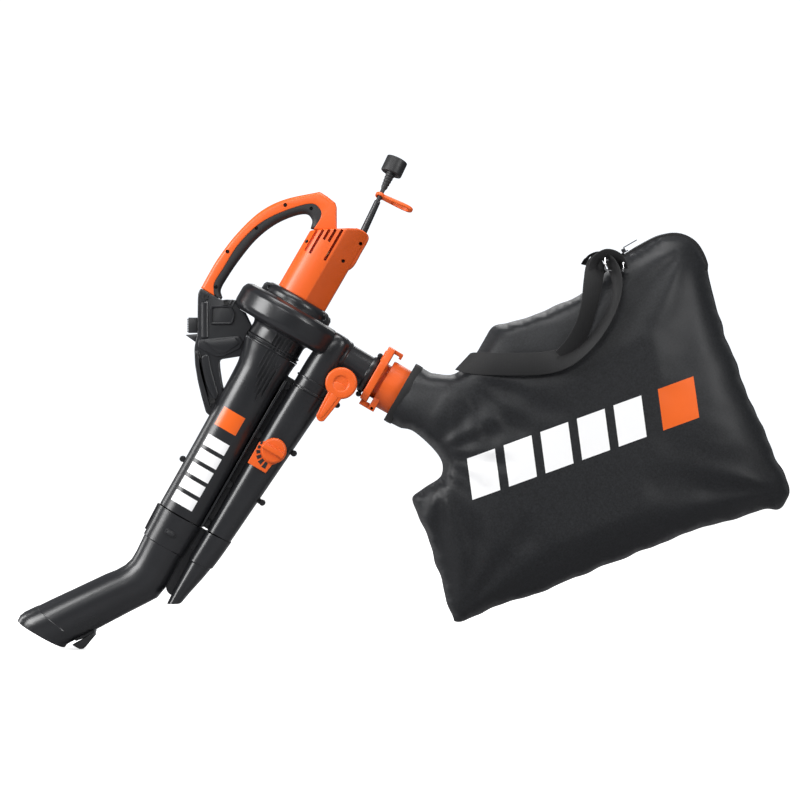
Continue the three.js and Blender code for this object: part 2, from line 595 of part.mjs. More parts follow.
// ---- Power cord, plug and cord hook ----
function cordAndPlug() {
  const at = (along) => cordPoint(along);
  const sleeve = join(bar(6.6, at(-8), at(20), 14, 6.2), bar(6.2, at(20), at(58), 14, 5.2));
  const bore = bar(CORD.radius + GAP, at(-20), at(61), 12);
  add("cord_sleeve", cut(sleeve, bore), rubber);
  const stem = 82;
  const ring = (along, radius) => {
    const [x, y, z] = at(along);
    return Array.from({ length: 8 }, (_, i) => {
      const angle = (Math.PI * i) / 4;
      return new THREE.Vector3(x + radius * Math.cos(angle), y + radius * Math.sin(angle), z);
    });
  };
  const stations = [-18, 20, 58, 64, 70, stem - 1];
  add("power_cord", loft(stations.map((along) => ring(along, CORD.radius))), rubber);

  const shroudFrom = 110;
  const shroudTo = 137;
  const along = (distance) => new THREE.Vector3(...at(distance));
  const direction = along(130).sub(along(100)).normalize();
  const plugBody = join(
    bar(5, at(stem), at(98), 12, 7),
    bar(7, at(98), at(shroudFrom + 9), 12, 8),
  );
  add("plug_body", plugBody, rubber);
  const shroud = cut(
    bar(18.5, at(shroudFrom), at(shroudTo), 28),
    bar(8 + GAP, at(shroudFrom - 1), at(shroudFrom + 9 + GAP), 16),
    bar(15.6, at(shroudFrom + 13), at(shroudTo + 1), 24),
  );
  add("plug_shroud", shroud, rubber);
  [-1, 1].forEach((side) => {
    const blade = new THREE.BoxGeometry(1.5, 6.3, 12);
    const turn = new THREE.Quaternion().setFromUnitVectors(new THREE.Vector3(0, 0, 1), direction);
    const middle = along(shroudFrom + 13 + GAP + 6.3);
    blade.translate(6.35 * side, 0, 0).applyQuaternion(turn).translate(middle.x, middle.y, middle.z);
    add(side < 0 ? "plug_blade_left" : "plug_blade_right", solidOf(blade), brass);
  });

  // The hook is a flat moulding round the cord, square to it, that holds the extension lead.
  const hookAlong = 68;
  const shape = new THREE.Shape();
  shape.absarc(0, 0, 8.5, 0.5, 2 * Math.PI - 0.5, false);
  shape.lineTo(22, -7);
  shape.quadraticCurveTo(58, -10, 60, 0);
  shape.quadraticCurveTo(58, 10, 22, 7);
  const eye = new THREE.Path();
  eye.absarc(0, 0, CORD.radius + 1, 0, 2 * Math.PI, true);
  const loop = new THREE.Path();
  loop.moveTo(24, -3);
  loop.lineTo(24, 3);
  loop.lineTo(48, 4.5);
  loop.lineTo(54, 0);
  loop.lineTo(48, -4.5);
  shape.holes.push(eye, loop);
  const hook = new THREE.ExtrudeGeometry(shape, { depth: 5, bevelEnabled: false, curveSegments: 6 });
  hook.translate(0, 0, -2.5).rotateY(Math.atan(CORD.lean));
  add("cord_hook", solidOf(hook.translate(...at(hookAlong))), orange);
}

// ---- Bag collar and its latch ----
function bagCollar() {
  const { radius, wall, start, end } = COLLAR;
  const { z } = OUTLET;
  const clear = OUTLET.radius + 1.5;
  const ears = [-31, 26].map((y) => block(193, 204, y, y + 5, z - 51, z - 28));
  const pinX = 199;
  const pinZ = z - 47;
  const sleeve = cut(
    join(bar(radius, [start, 0, z], [end, 0, z], 36), ...ears),
    bar(radius - wall, [start + 3, 0, z], [end + 1, 0, z], 36),
    bar(clear, [start - 1, 0, z], [start + 4, 0, z], 32),
    acrossBar(2.5 + GAP, pinX, pinZ, -40, 40, 12),
  );
  add("bag_collar", sleeve, orange);
  add("latch_pin", acrossBar(2.5, pinX, pinZ, -31, 31, 12), steel);
  const frame = [
    [-38, -42], [38, -42], [47, -30], [47, 30], [30, 59], [-30, 59], [-47, 30], [-47, -30],
  ].map(([y, up]) => [y, z + up]);
  const latch = cut(
    join(
      prism("x", frame, 172.4, 185.5),
      block(185, 197, -15, 15, z + 53, z + 59),
      block(176, 203, -24, 24, z - 51, z - 43.5),
      block(176, 185.5, -24, 24, z - 51, z - 38),
    ),
    bar(clear + 1, [160, 0, z], [190, 0, z], 32),
    acrossBar(2.5 + GAP, pinX, pinZ, -40, 40, 12),
  );
  add("collar_latch", latch, orange);
}

// ---- Collection bag ----
const BAG_OUTLINE = [
  [300, 60], [308, 142], [336, 170], [397, 246], [440, 358], [476, 415], [503, 435], [534, 437], [564, 421],
  [608, 373], [679, 309], [771, 236], [867, 170], [886, 148], [884, 120], [860, 100], [756, -12], [668, -123],
  [564, -252], [505, -323], [491, -317], [414, -243], [339, -182], [340, -165], [356, -119], [330, -80],
];
const BAG_NECK = [
  [NECK_BAND.end + GAP, 22, NECK_BAND.end + GAP, -84, 53],
  [262, 24, 260, -85, 54],
  [300, 46, 290, -83, 55],
  [345, 70, 340, -95, 52],
  [400, 60, 400, -85, 40],
];

// Half the bag's thickness at a share of the way from its middle to its edge.
const crown = (share, half) => half * (1 - share * share) ** 0.75;

function pillow(outline, half) {
  const shares = [1, 0.97, 0.9, 0.78, 0.6, 0.35, 0.02];
  const ring = (share, side) =>
    outline.map(([x, z]) => new THREE.Vector3(
      BAG.x + (x - BAG.x) * share,
      side * crown(share, half),
      BAG.z + (z - BAG.z) * share,
    ));
  return loft([...shares.slice(1).reverse().map((s) => ring(s, -1)), ...shares.map((s) => ring(s, 1))]);
}

function bag() {
  const { x, z, half, wall } = BAG;
  const inner = BAG_OUTLINE.map(([px, pz]) => [x + (px - x) * 0.985, z + (pz - z) * 0.985]);
  const shell = cut(
    join(pillow(BAG_OUTLINE, half), duct(BAG_NECK, 2)),
    pillow(inner, half - wall),
    duct(inset(BAG_NECK, wall, 4), 2),
  );
  add("bag_shell", shell, fabric);
  const centre = OUTLET.z;
  const band = cut(
    bar(NECK_BAND.radius, [NECK_BAND.start, 0, centre + 2], [NECK_BAND.end, 0, centre + 2], 32),
    bar(COLLAR.radius + GAP, [NECK_BAND.start - 1, 0, centre], [NECK_BAND.end + 1, 0, centre], 32),
  );
  add("neck_band", band, webbing);

  // The shoulder strap hangs in front of the bag from the neck to the start of the zip.
  const strapLine = new THREE.CatmullRomCurve3(
    [[300, -66, 40], [345, -74, 62], [390, -80, 98], [430, -80, 152], [446, -74, 215], [446, -60, 275],
      [436, -42, 312]].map((p) => new THREE.Vector3(...p)),
  );
  const strapRings = strapLine.getPoints(14).map((p, i) => {
    const tangent = strapLine.getTangent(i / 14);
    const across = tangent.clone().cross(new THREE.Vector3(0, 1, 0)).normalize().multiplyScalar(18);
    const thick = new THREE.Vector3(0, 1.3, 0);
    return [[-1, -1], [1, -1], [1, 1], [-1, 1]].map(([a, b]) =>
      p.clone().addScaledVector(across, a).addScaledVector(thick, b),
    );
  });
  add("shoulder_strap", loft(strapRings), webbing);
  const buckle = cut(
    block(-24, 24, -2.5, 2.5, -14, 14),
    block(-20, 20, -4, 4, 3, 6.4),
    block(-20, 20, -4, 4, -6.4, -3),
  );
  const buckleGeometry = geometryOf(buckle).rotateY(0.1).translate(441, -37, 332);
  add("strap_buckle", solidOf(buckleGeometry), black);

  // The zip closes the top corner of the bag, just outside its edge. It starts out straight.
  const { x: zx, z: zz, slope } = ZIP;
  const edge = [
    [zx, zz],
    ...smooth([[zx + 75 * Math.sin(slope), zz + 75 * Math.cos(slope)], [484, 423], [506, 437], [534, 438],
      [564, 421], [600, 383]], 12),
  ];
  const out = (distance) => shrink([...edge, [520, 300]], -distance).slice(0, edge.length);
  add("zipper_tape", plate([...out(3.5), ...out(8.5).reverse()], -8, 8), webbing);
  const slider = join(onZip([8.9, 12.4, -4, 4, 22, 34]), onZip([12, 13.8, -1.2, 1.2, 24, 31]));
  add("zipper_slider", slider, steel);
  add("zipper_pull", cut(onZip([14.4, 16, -3, 3, 30, 56]), onZip([10, 20, -1.5, 1.5, 38, 53])), steel);
}

// A box beside the zip: how far out from the bag's edge, across it, and along it.
const ZIP = { x: 431, z: 337, slope: Math.PI / 6 };
function onZip([out0, out1, y0, y1, along0, along1]) {
  const geometry = new THREE.BoxGeometry(out1 - out0, y1 - y0, along1 - along0);
  geometry.translate(-(out0 + out1) / 2, (y0 + y1) / 2, (along0 + along1) / 2).rotateY(ZIP.slope);
  return solidOf(geometry.translate(ZIP.x, 0, ZIP.z));
}

fanHousing();
diverterHousing();
ductTubes();
screws();
airControl();
diverter();
motorHousing();
motor();
mainHandle();
lowerHandle();
switchSlider();
nozzle();
cordAndPlug();
bagCollar();
bag();

export default tool;
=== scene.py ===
import json
import math

import bmesh
import bpy
import numpy as np
from mathutils import Matrix, Vector, noise
from mathutils.geometry import delaunay_2d_cdt


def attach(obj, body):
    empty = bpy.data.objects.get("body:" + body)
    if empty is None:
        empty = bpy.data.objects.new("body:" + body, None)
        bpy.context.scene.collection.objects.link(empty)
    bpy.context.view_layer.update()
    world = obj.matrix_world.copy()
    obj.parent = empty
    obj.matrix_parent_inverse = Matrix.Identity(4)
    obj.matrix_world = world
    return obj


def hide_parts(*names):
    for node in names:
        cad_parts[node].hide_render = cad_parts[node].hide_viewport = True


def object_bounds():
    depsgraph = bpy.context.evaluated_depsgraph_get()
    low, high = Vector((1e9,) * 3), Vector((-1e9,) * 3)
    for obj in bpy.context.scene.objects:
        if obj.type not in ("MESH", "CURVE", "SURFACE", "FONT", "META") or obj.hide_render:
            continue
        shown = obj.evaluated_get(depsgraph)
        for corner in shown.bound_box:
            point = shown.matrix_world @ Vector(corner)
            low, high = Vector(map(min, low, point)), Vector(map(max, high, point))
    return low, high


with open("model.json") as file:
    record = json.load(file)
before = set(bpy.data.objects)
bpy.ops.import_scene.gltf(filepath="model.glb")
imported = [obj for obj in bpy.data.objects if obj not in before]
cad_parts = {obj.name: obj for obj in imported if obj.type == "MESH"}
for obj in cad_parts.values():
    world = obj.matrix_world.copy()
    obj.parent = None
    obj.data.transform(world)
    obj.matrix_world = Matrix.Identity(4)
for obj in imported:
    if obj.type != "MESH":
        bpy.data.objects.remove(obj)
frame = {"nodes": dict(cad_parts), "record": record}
cad_box = [list(corner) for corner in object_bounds()]
scene = bpy.context.scene

# ---------------------------------------------------------------- frame
# Everything below is laid out in millimetres in the tool's own frame, whose Z is the motor shaft and whose X
# points along the bag outlet. place() takes it to the row frame, in metres.
LEAN = math.pi / 6
GRIP = np.array([-128.0, 0.0, 91.0])
ROT = np.array(Matrix.Rotation(LEAN, 3, "Y"))
METRES = 0.001


def place(points):
    return ((np.asarray(points, float).reshape(-1, 3) - GRIP) @ ROT.T) * METRES


def upright(x, y, z):
    """A tool-frame point from one given in upright directions about the tool frame's origin."""
    return np.array([x, y, z], float) @ ROT


# ---------------------------------------------------------------- shader nodes
def nodes_of(name):
    look = bpy.data.materials.new(name)
    look.use_nodes = True
    return look, look.node_tree, look.node_tree.nodes["Principled BSDF"]


def feed(tree, sockets, values):
    """Links each value that is a socket, and sets each one that is not, by the name or number it is under."""
    for key, value in values.items():
        if isinstance(value, bpy.types.NodeSocket):
            tree.links.new(value, sockets[key])
        else:
            sockets[key].default_value = value


def node(tree, kind, values, **settings):
    made = tree.nodes.new("ShaderNode" + kind)
    for key, value in settings.items():
        setattr(made, key, value)
    feed(tree, made.inputs, values)
    return made


def calc(tree, operation, *values):
    return node(tree, "Math", dict(enumerate(values)), operation=operation).outputs[0]


# ---------------------------------------------------------------- camera, floor, light
AIM = Vector((0.2455, 0.0, -0.2975))
AWAY, SPAN, SENSOR = 4.6, 1.36, 36.0
FLOOR_RADIUS, FLOOR_SIDES, FLOOR_DROP = 14, 96, 0.002
WORLD_LIGHT, WORLD_SEEN = 0.16, 1.15
SOFTBOXES = (  # name, position, target, width, height, watts
    ("key", (-1.9, -1.25, 0.75), (0.0, 0, -0.3), 1.3, 1.3, 72),
    ("front", (-0.4, -3.2, 1.3), (0.2, 0, -0.3), 1.3, 0.8, 26),
    ("top", (0.45, -0.5, 2.0), (0.35, 0, -0.2), 1.5, 0.9, 40),
    ("back", (0.7, 3.0, 1.2), (0.2, 0, -0.3), 1.6, 1.0, 15),
    ("right", (2.2, -1.9, 0.5), (0.5, 0, -0.3), 0.6, 1.2, 30),
    ("rim_left", (-1.9, 1.0, 0.0), (0, 0, -0.3), 0.5, 1.8, 16),
)


def linked(name, data):
    obj = bpy.data.objects.new(name, data)
    scene.collection.objects.link(obj)
    return obj


def paper():
    """A wide, plain, pale floor."""
    turns = [2 * math.pi * i / FLOOR_SIDES for i in range(FLOOR_SIDES)]
    level_z = cad_box[0][2] - FLOOR_DROP
    mesh = bpy.data.meshes.new("paper")
    mesh.from_pydata([(FLOOR_RADIUS * math.cos(a), FLOOR_RADIUS * math.sin(a), level_z) for a in turns], [],
                     [tuple(range(FLOOR_SIDES))])
    look, tree, shader = nodes_of("paper")
    # The camera sees a floor that glows, more the further out. To every other ray it is a dull grey.
    seen = node(tree, "LightPath", {}).outputs["Is Camera Ray"]
    tone = node(tree, "Mix", {"Factor": seen, 6: (0.30, 0.30, 0.31, 1), 7: (0.93, 0.93, 0.93, 1)},
                data_type="RGBA")
    spot = node(tree, "TexCoord", {}).outputs["Object"]
    reach = node(tree, "VectorMath", {0: spot}, operation="LENGTH").outputs["Value"]
    fade = node(tree, "MapRange", {"Value": reach, "From Min": 1.3, "From Max": 3.6, "To Min": 0.74,
                                   "To Max": 1.1}).outputs["Result"]
    feed(tree, shader.inputs, {"Roughness": 0.95, "Base Color": tone.outputs[2],
                               "Emission Color": (1, 1, 1, 1),
                               "Emission Strength": calc(tree, "MULTIPLY", seen, fade)})
    mesh.materials.append(look)
    linked("paper", mesh)


def softbox(name, position, target, width, height, watts):
    light = bpy.data.lights.new(name, "AREA")
    light.shape = "RECTANGLE"
    light.size = width
    light.size_y = height
    light.energy = watts
    holder = linked(name, light)
    holder.location = position
    aim = Vector(target) - Vector(position)
    holder.rotation_euler = aim.to_track_quat("-Z", "Y").to_euler()


camera_data = bpy.data.cameras.new("camera")
camera_data.lens = SENSOR * AWAY / SPAN
camera_data.clip_end = 60
camera = linked("camera", camera_data)
camera.location = AIM + Vector((0, -AWAY, 0))
camera.rotation_euler = (math.pi / 2, 0, 0)
scene.camera = camera
paper()
for box in SOFTBOXES:
    softbox(*box)
world = bpy.data.worlds.new("studio")
scene.world = world
world.use_nodes = True
world_seen = node(world.node_tree, "LightPath", {}).outputs["Is Camera Ray"]
world_glow = node(world.node_tree, "MapRange", {"Value": world_seen, "To Min": WORLD_LIGHT,
                                                "To Max": WORLD_SEEN})
feed(world.node_tree, world.node_tree.nodes["Background"].inputs,
     {"Color": (0.93, 0.96, 1, 1), "Strength": world_glow.outputs["Result"]})
scene.view_settings.view_transform = "Standard"


# ---------------------------------------------------------------- materials
def place_vector(tree, turn=0.0):
    """Position on the piece, turned about Y."""
    where = node(tree, "TexCoord", {}).outputs["Object"]
    return node(tree, "Mapping", {"Vector": where, "Rotation": (0, turn, 0)}).outputs["Vector"]


def noise_at(tree, vector, scale, detail=2.0, rough=0.5):
    values = {"Vector": vector, "Scale": scale, "Detail": detail, "Roughness": rough}
    return node(tree, "TexNoise", values).outputs["Fac"]


def ramp(tree, source, *stops):
    """A colour ramp with two stops, each a place and a colour."""
    made = node(tree, "ValToRGB", {"Fac": source})
    for element, (at, color) in zip(made.color_ramp.elements, stops):
        element.position = at
        element.color = (*color, 1)
    return made.outputs["Color"]


def spread(tree, source, low, high):
    """Stretches the middle of a noise over the range from low to high."""
    values = {"Value": source, "From Min": 0.3, "From Max": 0.7, "To Min": low, "To Max": high}
    return node(tree, "MapRange", values).outputs["Result"]


def bump(tree, height, strength, distance, **under):
    values = {"Height": height, "Strength": strength, "Distance": distance}
    return node(tree, "Bump", {**values, **under}).outputs["Normal"]


def scaled(color, factor):
    return tuple(min(1.0, c * factor) for c in color)


def moulded(name, color, rough=(0.3, 0.42), grain=1600.0, depth=0.00003, vary=0.10):
    """Injection-moulded plastic: a fine spark-eroded grain, slow colour drift and a few rubbed patches."""
    look, tree, shader = nodes_of(name)
    vector = place_vector(tree)
    drift = noise_at(tree, vector, 14.0, 3.0)
    patches = noise_at(tree, vector, 9.0, 3.0)
    fine = noise_at(tree, vector, grain, 2.0, 0.6)
    feed(tree, shader.inputs, {
        "Base Color": ramp(tree, drift, (0.3, scaled(color, 1 - vary)), (0.7, scaled(color, 1 + vary))),
        "Roughness": spread(tree, patches, *rough),
        "Normal": bump(tree, fine, 0.35, depth),
    })
    return look


def metal(name, color, rough=(0.25, 0.4)):
    look, tree, shader = nodes_of(name)
    vector = place_vector(tree)
    drift = noise_at(tree, vector, 90.0, 4.0)
    feed(tree, shader.inputs, {
        "Metallic": 1.0,
        "Base Color": ramp(tree, drift, (0.3, scaled(color, 0.8)), (0.7, color)),
        "Roughness": spread(tree, noise_at(tree, vector, 400.0), *rough),
    })
    return look


def woven(name, color, pitch, depth, rough, sheen, turn=0.0, rib=1.0):
    """Plain weave: two sets of threads at right angles, each thread rounded, with fuzz and slow fading."""
    look, tree, shader = nodes_of(name)
    vector = place_vector(tree, turn)
    heights = []
    for direction, coarse in (("X", rib), ("Z", 1)):
        values = {"Vector": vector, "Scale": 1 / pitch / 6.2832 * 2 * coarse, "Distortion": 0.6,
                  "Detail": 1.0,
                  "Detail Scale": 2.0}
        heights.append(node(tree, "TexWave", values, wave_type="BANDS", bands_direction=direction,
                            wave_profile="SIN").outputs["Fac"])
    threads = calc(tree, "MAXIMUM", *heights)
    fuzz = calc(tree, "MULTIPLY_ADD", noise_at(tree, vector, 2600.0), 0.5, threads)
    slow = noise_at(tree, vector, 330.0, 5.0, 0.75)
    tone = node(tree, "Mix", {
        "Factor": 0.45,
        6: ramp(tree, slow, (0.32, scaled(color, 0.45)), (0.68, scaled(color, 1.9))),
        7: ramp(tree, threads, (0.2, (0.45, 0.45, 0.45)), (0.9, (1, 1, 1))),
    }, data_type="RGBA", blend_type="MULTIPLY")
    feed(tree, shader.inputs, {
        "Base Color": tone.outputs[2],
        "Roughness": spread(tree, slow, *rough),
        "Normal": bump(tree, slow, 0.30, depth * 3, Normal=bump(tree, fuzz, 0.55, depth)),
        "Sheen Weight": sheen,
        "Sheen Roughness": 0.4,
    })
    return look


WHITE_PRINT, ORANGE_PRINT = (0.86, 0.86, 0.86, 1), (0.76, 0.115, 0.008, 1)
NEAR_SIDE = -0.004
CELLS_BEFORE = 40


def marked(look, origin, degrees, length, height, slant, pitch, share, accent):
    """Prints a plain row of bars on the near side: white ones, and one orange bar at the far end."""
    tree = look.node_tree
    shader = tree.nodes["Principled BSDF"]
    where = node(tree, "TexCoord", {}).outputs["Object"]
    split = node(tree, "SeparateXYZ", {0: where}).outputs
    x = calc(tree, "SUBTRACT", split[0], origin[0])
    z = calc(tree, "SUBTRACT", split[2], origin[1])
    c, s = math.cos(math.radians(degrees)), math.sin(math.radians(degrees))
    along = calc(tree, "MULTIPLY_ADD", z, s, calc(tree, "MULTIPLY", x, c))
    across = calc(tree, "MULTIPLY_ADD", z, c, calc(tree, "MULTIPLY", x, -s))
    along = calc(tree, "MULTIPLY_ADD", across, -slant, along)

    def between(low, high):
        return calc(tree, "MULTIPLY", calc(tree, "GREATER_THAN", along, low),
                    calc(tree, "LESS_THAN", along, high))

    tall = calc(tree, "LESS_THAN", calc(tree, "ABSOLUTE", across), height / 2)
    band = calc(tree, "MULTIPLY", tall, calc(tree, "LESS_THAN", split[1], NEAR_SIDE))
    # Whole cells are added first, so that the fraction is taken of a positive number.
    cell = calc(tree, "FRACT", calc(tree, "DIVIDE", calc(tree, "ADD", along, CELLS_BEFORE * pitch), pitch))
    bars = calc(tree, "MULTIPLY", calc(tree, "LESS_THAN", cell, share), between(0.0, length))
    last = between(length + accent[0], length + accent[1])
    under = shader.inputs["Base Color"].links[0].from_socket
    for mask, color in ((bars, WHITE_PRINT), (last, ORANGE_PRINT)):
        values = {"Factor": calc(tree, "MULTIPLY", mask, band), 6: under, 7: color}
        under = node(tree, "Mix", values, data_type="RGBA").outputs[2]
    tree.links.new(under, shader.inputs["Base Color"])


ORANGE = (0.70, 0.100, 0.008)
BLACK = (0.0125, 0.013, 0.0148)
orange = moulded("orange_plastic", ORANGE, (0.34, 0.42), vary=0.04)
black = moulded("black_plastic", BLACK, (0.27, 0.33), vary=0.12)
printed_black = moulded("printed_black_plastic", BLACK, (0.27, 0.33), vary=0.12)
TUBE_PRINT = place([(3, 0, -382)])[0]
marked(printed_black, (TUBE_PRINT[0], TUBE_PRINT[2]), 60, 0.135, 0.041, 0.0, 0.027, 0.74, (0.012, 0.046))
satin = moulded("black_satin", (0.012, 0.0125, 0.014), (0.38, 0.48), vary=0.12)
grip_look = moulded("soft_grip", (0.012, 0.012, 0.013), (0.5, 0.62), grain=900.0, depth=0.00008)
rubber = moulded("cord_rubber", (0.014, 0.014, 0.015), (0.4, 0.52), grain=1200.0)
recess = moulded("recess", (0.006, 0.006, 0.0065), (0.5, 0.6))
steel = metal("steel", (0.6, 0.61, 0.63))
bright = metal("bright_metal", (0.85, 0.85, 0.86), (0.12, 0.22))
zip_metal = metal("dark_zip_metal", (0.07, 0.07, 0.075), (0.3, 0.45))
copper = metal("copper_alloy", (0.8, 0.5, 0.25))
cast = metal("cast_aluminium", (0.62, 0.63, 0.65), (0.4, 0.55))
web_look = woven("webbing", (0.0045, 0.0045, 0.005), 0.0016, 0.0002, (0.7, 0.85), 0.07, rib=0.35)
bag_look = woven("bag_fabric", (0.0088, 0.0094, 0.0108), 0.0012, 0.00008, (0.42, 0.52), 0.04, turn=0.6)
bag_look.node_tree.nodes["Principled BSDF"].inputs["Specular IOR Level"].default_value = 0.34
marked(bag_look, (0.362, -0.430), 20, 0.325, 0.068, 0.22, 0.065, 0.76, (0.014, 0.078))


# ---------------------------------------------------------------- building solids
def smooth(points, count, closed=False):
    """Catmull-Rom through 2D or 3D points."""
    pts = np.asarray(points, float)
    n = len(pts)
    spans = n if closed else n - 1
    out = []
    for k in range(count + (0 if closed else 1)):
        t = k * spans / count
        i = min(int(t), spans - 1)
        u = t - i
        if closed:
            p = [pts[(i + j - 1) % n] for j in range(4)]
        else:
            p = [pts[min(max(i + j - 1, 0), n - 1)] for j in range(4)]
            if i == 0:
                p[0] = 2 * p[1] - p[2]
            if i == n - 2:
                p[3] = 2 * p[2] - p[1]
        out.append(0.5 * (2 * p[1] + (p[2] - p[0]) * u + (2 * p[0] - 5 * p[1] + 4 * p[2] - p[3]) * u * u
                          + (3 * p[1] - p[0] - 3 * p[2] + p[3]) * u ** 3))
    return np.array(out)


def unit(ways):
    """Each row scaled to length one."""
    return ways / np.linalg.norm(ways, axis=1, keepdims=True)


def columns(*parts):
    """Points from their coordinates, each of which may be one number for all."""
    return np.stack(np.broadcast_arrays(*parts), axis=1)


def shrink(points, distance):
    """An outline moved inwards; distance may be one number or one per point."""
    pts = np.asarray(points, float)
    after = np.roll(pts, -1, axis=0)
    area = np.sum(pts[:, 0] * after[:, 1] - pts[:, 1] * after[:, 0])
    turn = 1.0 if area > 0 else -1.0
    way = after - pts
    way /= np.maximum(np.linalg.norm(way, axis=1, keepdims=True), 1e-9)
    normal = columns(-turn * way[:, 1], turn * way[:, 0])
    before = np.roll(normal, 1, axis=0)
    share = 1 + np.sum(before * normal, axis=1, keepdims=True)
    d = np.broadcast_to(np.asarray(distance, float).reshape(-1, 1), (len(pts), 1))
    return pts + (before + normal) * d / np.maximum(share, 0.35)


def loft(rings, closed=False, caps=True):
    rings = [np.asarray(r, float) for r in rings]
    n = len(rings[0])
    verts = np.concatenate(rings)
    faces = []
    last = len(rings) if closed else len(rings) - 1
    for k in range(last):
        a, b = k * n, ((k + 1) % len(rings)) * n
        for i in range(n):
            j = (i + 1) % n
            faces.append((a + i, a + j, b + j, b + i))
    if caps and not closed:
        faces.append(tuple(range(n)))
        faces.append(tuple(range((len(rings) - 1) * n, len(rings) * n)))
    return verts, faces


def merge(parts):
    verts, faces, base = [], [], 0
    for v, f in parts:
        verts.append(np.asarray(v, float))
        faces += [tuple(i + base for i in face) for face in f]
        base += len(v)
    return np.concatenate(verts), faces


def quarter(steps):
    """A rounded rim of radius one, from its flank to its face: how far in, and how far back from the face."""
    return [(1 - math.cos(a), 1 - math.sin(a)) for a in (math.pi / 2 * k / steps for k in range(steps + 1))]


def round_plate(outline, y0, y1, radius=2.0, steps=4, groove=0.0):
    """A solid over an outline in x and z, from y0 to y1, with rounded rims. radius may vary by point."""
    pts = np.asarray(outline, float)
    r = np.broadcast_to(np.asarray(radius, float), (len(pts),))
    half, middle = (y1 - y0) / 2, (y0 + y1) / 2

    def ring(inset, y):
        flat = shrink(pts, inset)
        return columns(flat[:, 0], y, flat[:, 1])

    low = [ring(r * inset, middle - half + r * back) for inset, back in reversed(quarter(steps))]
    high = [ring(r * inset, middle + half - r * back) for inset, back in quarter(steps)]
    seam = [ring(0.0, -groove), ring(groove, 0.0), ring(0.0, groove)] if groove else []
    return loft(low + seam + high)


def slab(x0, x1, y0, y1, z0, z1, radius=0.8, steps=2):
    return round_plate([(x0, z0), (x1, z0), (x1, z1), (x0, z1)], y0, y1, radius, steps)


def along_axis(origin, way, profile, segments=48, closed=False):
    """A solid turned about any axis; profile is [radius, distance along the axis]."""
    way = np.asarray(way, float) / np.linalg.norm(way)
    side = np.cross(way, (0, 1, 0) if abs(way[1]) < 0.9 else (1, 0, 0))
    side /= np.linalg.norm(side)
    other = np.cross(way, side)
    angles = np.arange(segments) * 2 * math.pi / segments
    round_ = np.cos(angles)[:, None] * side + np.sin(angles)[:, None] * other
    rings = [np.asarray(origin, float) + way * z + round_ * r for r, z in profile]
    return loft(rings, closed=closed, caps=not closed)


def button(x, z, y0, y1, r, radius=1.0, segments=40):
    """A disc across the tool with rounded rims."""
    profile = [(r - radius * inset, y0 + radius * back) for inset, back in reversed(quarter(4))]
    profile += [(r - radius * inset, y1 - radius * back) for inset, back in quarter(4)]
    return along_axis((x, 0, z), (0, 1, 0), profile, segments)


def corner(before, here, after, reach, most, steps):
    """Points round one corner. They start and end at reach from it, or at a share of the shorter side."""
    before, here, after = (np.asarray(p, float) for p in (before, here, after))
    a, b = before - here, after - here
    la, lb = np.linalg.norm(a), np.linalg.norm(b)
    d = min(reach, most * la, most * lb)
    p, q = here + a / la * d, here + b / lb * d
    out = []
    for k in range(steps + 1):
        t = k / steps
        out.append((1 - t) ** 2 * p + 2 * t * (1 - t) * here + t * t * q)
    return out


def arc_profile(points, radius=3.0, steps=4):
    """Rounds the corners of a [r, z] profile, all but its two ends."""
    out = [points[0]]
    for three in zip(points, points[1:], points[2:]):
        out += corner(*three, radius, 0.45, steps)
    return out + [points[-1]]


def rounded(outline, reach=3.0, steps=3):
    """Rounds all the corners of a closed outline."""
    out = []
    for i, here in enumerate(outline):
        out += corner(outline[i - 1], here, outline[(i + 1) % len(outline)], reach, 0.4, steps)
    return np.array(out)


def superring(xa, za, xb, zb, half, power=2.4, n=64):
    """A rounded-square ring across a duct, from side to side between two points in x and z."""
    angles = np.arange(n) * 2 * math.pi / n
    c, s = np.cos(angles), np.sin(angles)
    side = np.sign(c) * np.abs(c) ** (2 / power)
    depth = np.sign(s) * np.abs(s) ** (2 / power)
    return columns((xa + xb) / 2 + side * (xb - xa) / 2, half * depth, (za + zb) / 2 + side * (zb - za) / 2)


def narrowed(rows, wall):
    out = []
    for xa, za, xb, zb, half in rows:
        width = math.hypot(xb - xa, zb - za)
        ux, uz = wall * (xb - xa) / width, wall * (zb - za) / width
        out.append((xa + ux, za + uz, xb - ux, zb - uz, half - wall))
    return out


def tube(rows, wall=2.6, power=2.4, n=64):
    """A hollow duct, open at both ends, as one closed skin."""
    outside = [superring(*row, power, n) for row in rows]
    inside = [superring(*row, power, n) for row in narrowed(rows, wall)][::-1]
    return loft(outside + inside, closed=True)


def solid_duct(rows, power=2.4, n=64):
    return loft([superring(*row, power, n) for row in rows])


def mesh_of(name, parts, weld=1e-6):
    verts, faces = merge(parts)
    mesh = bpy.data.meshes.new(name)
    mesh.from_pydata([tuple(p) for p in place(verts)], [], faces)
    bm = bmesh.new()
    bm.from_mesh(mesh)
    bmesh.ops.remove_doubles(bm, verts=bm.verts, dist=weld)
    bmesh.ops.dissolve_degenerate(bm, edges=bm.edges, dist=1e-7)
    bmesh.ops.recalc_face_normals(bm, faces=bm.faces)
    bm.to_mesh(mesh)
    bm.free()
    return mesh


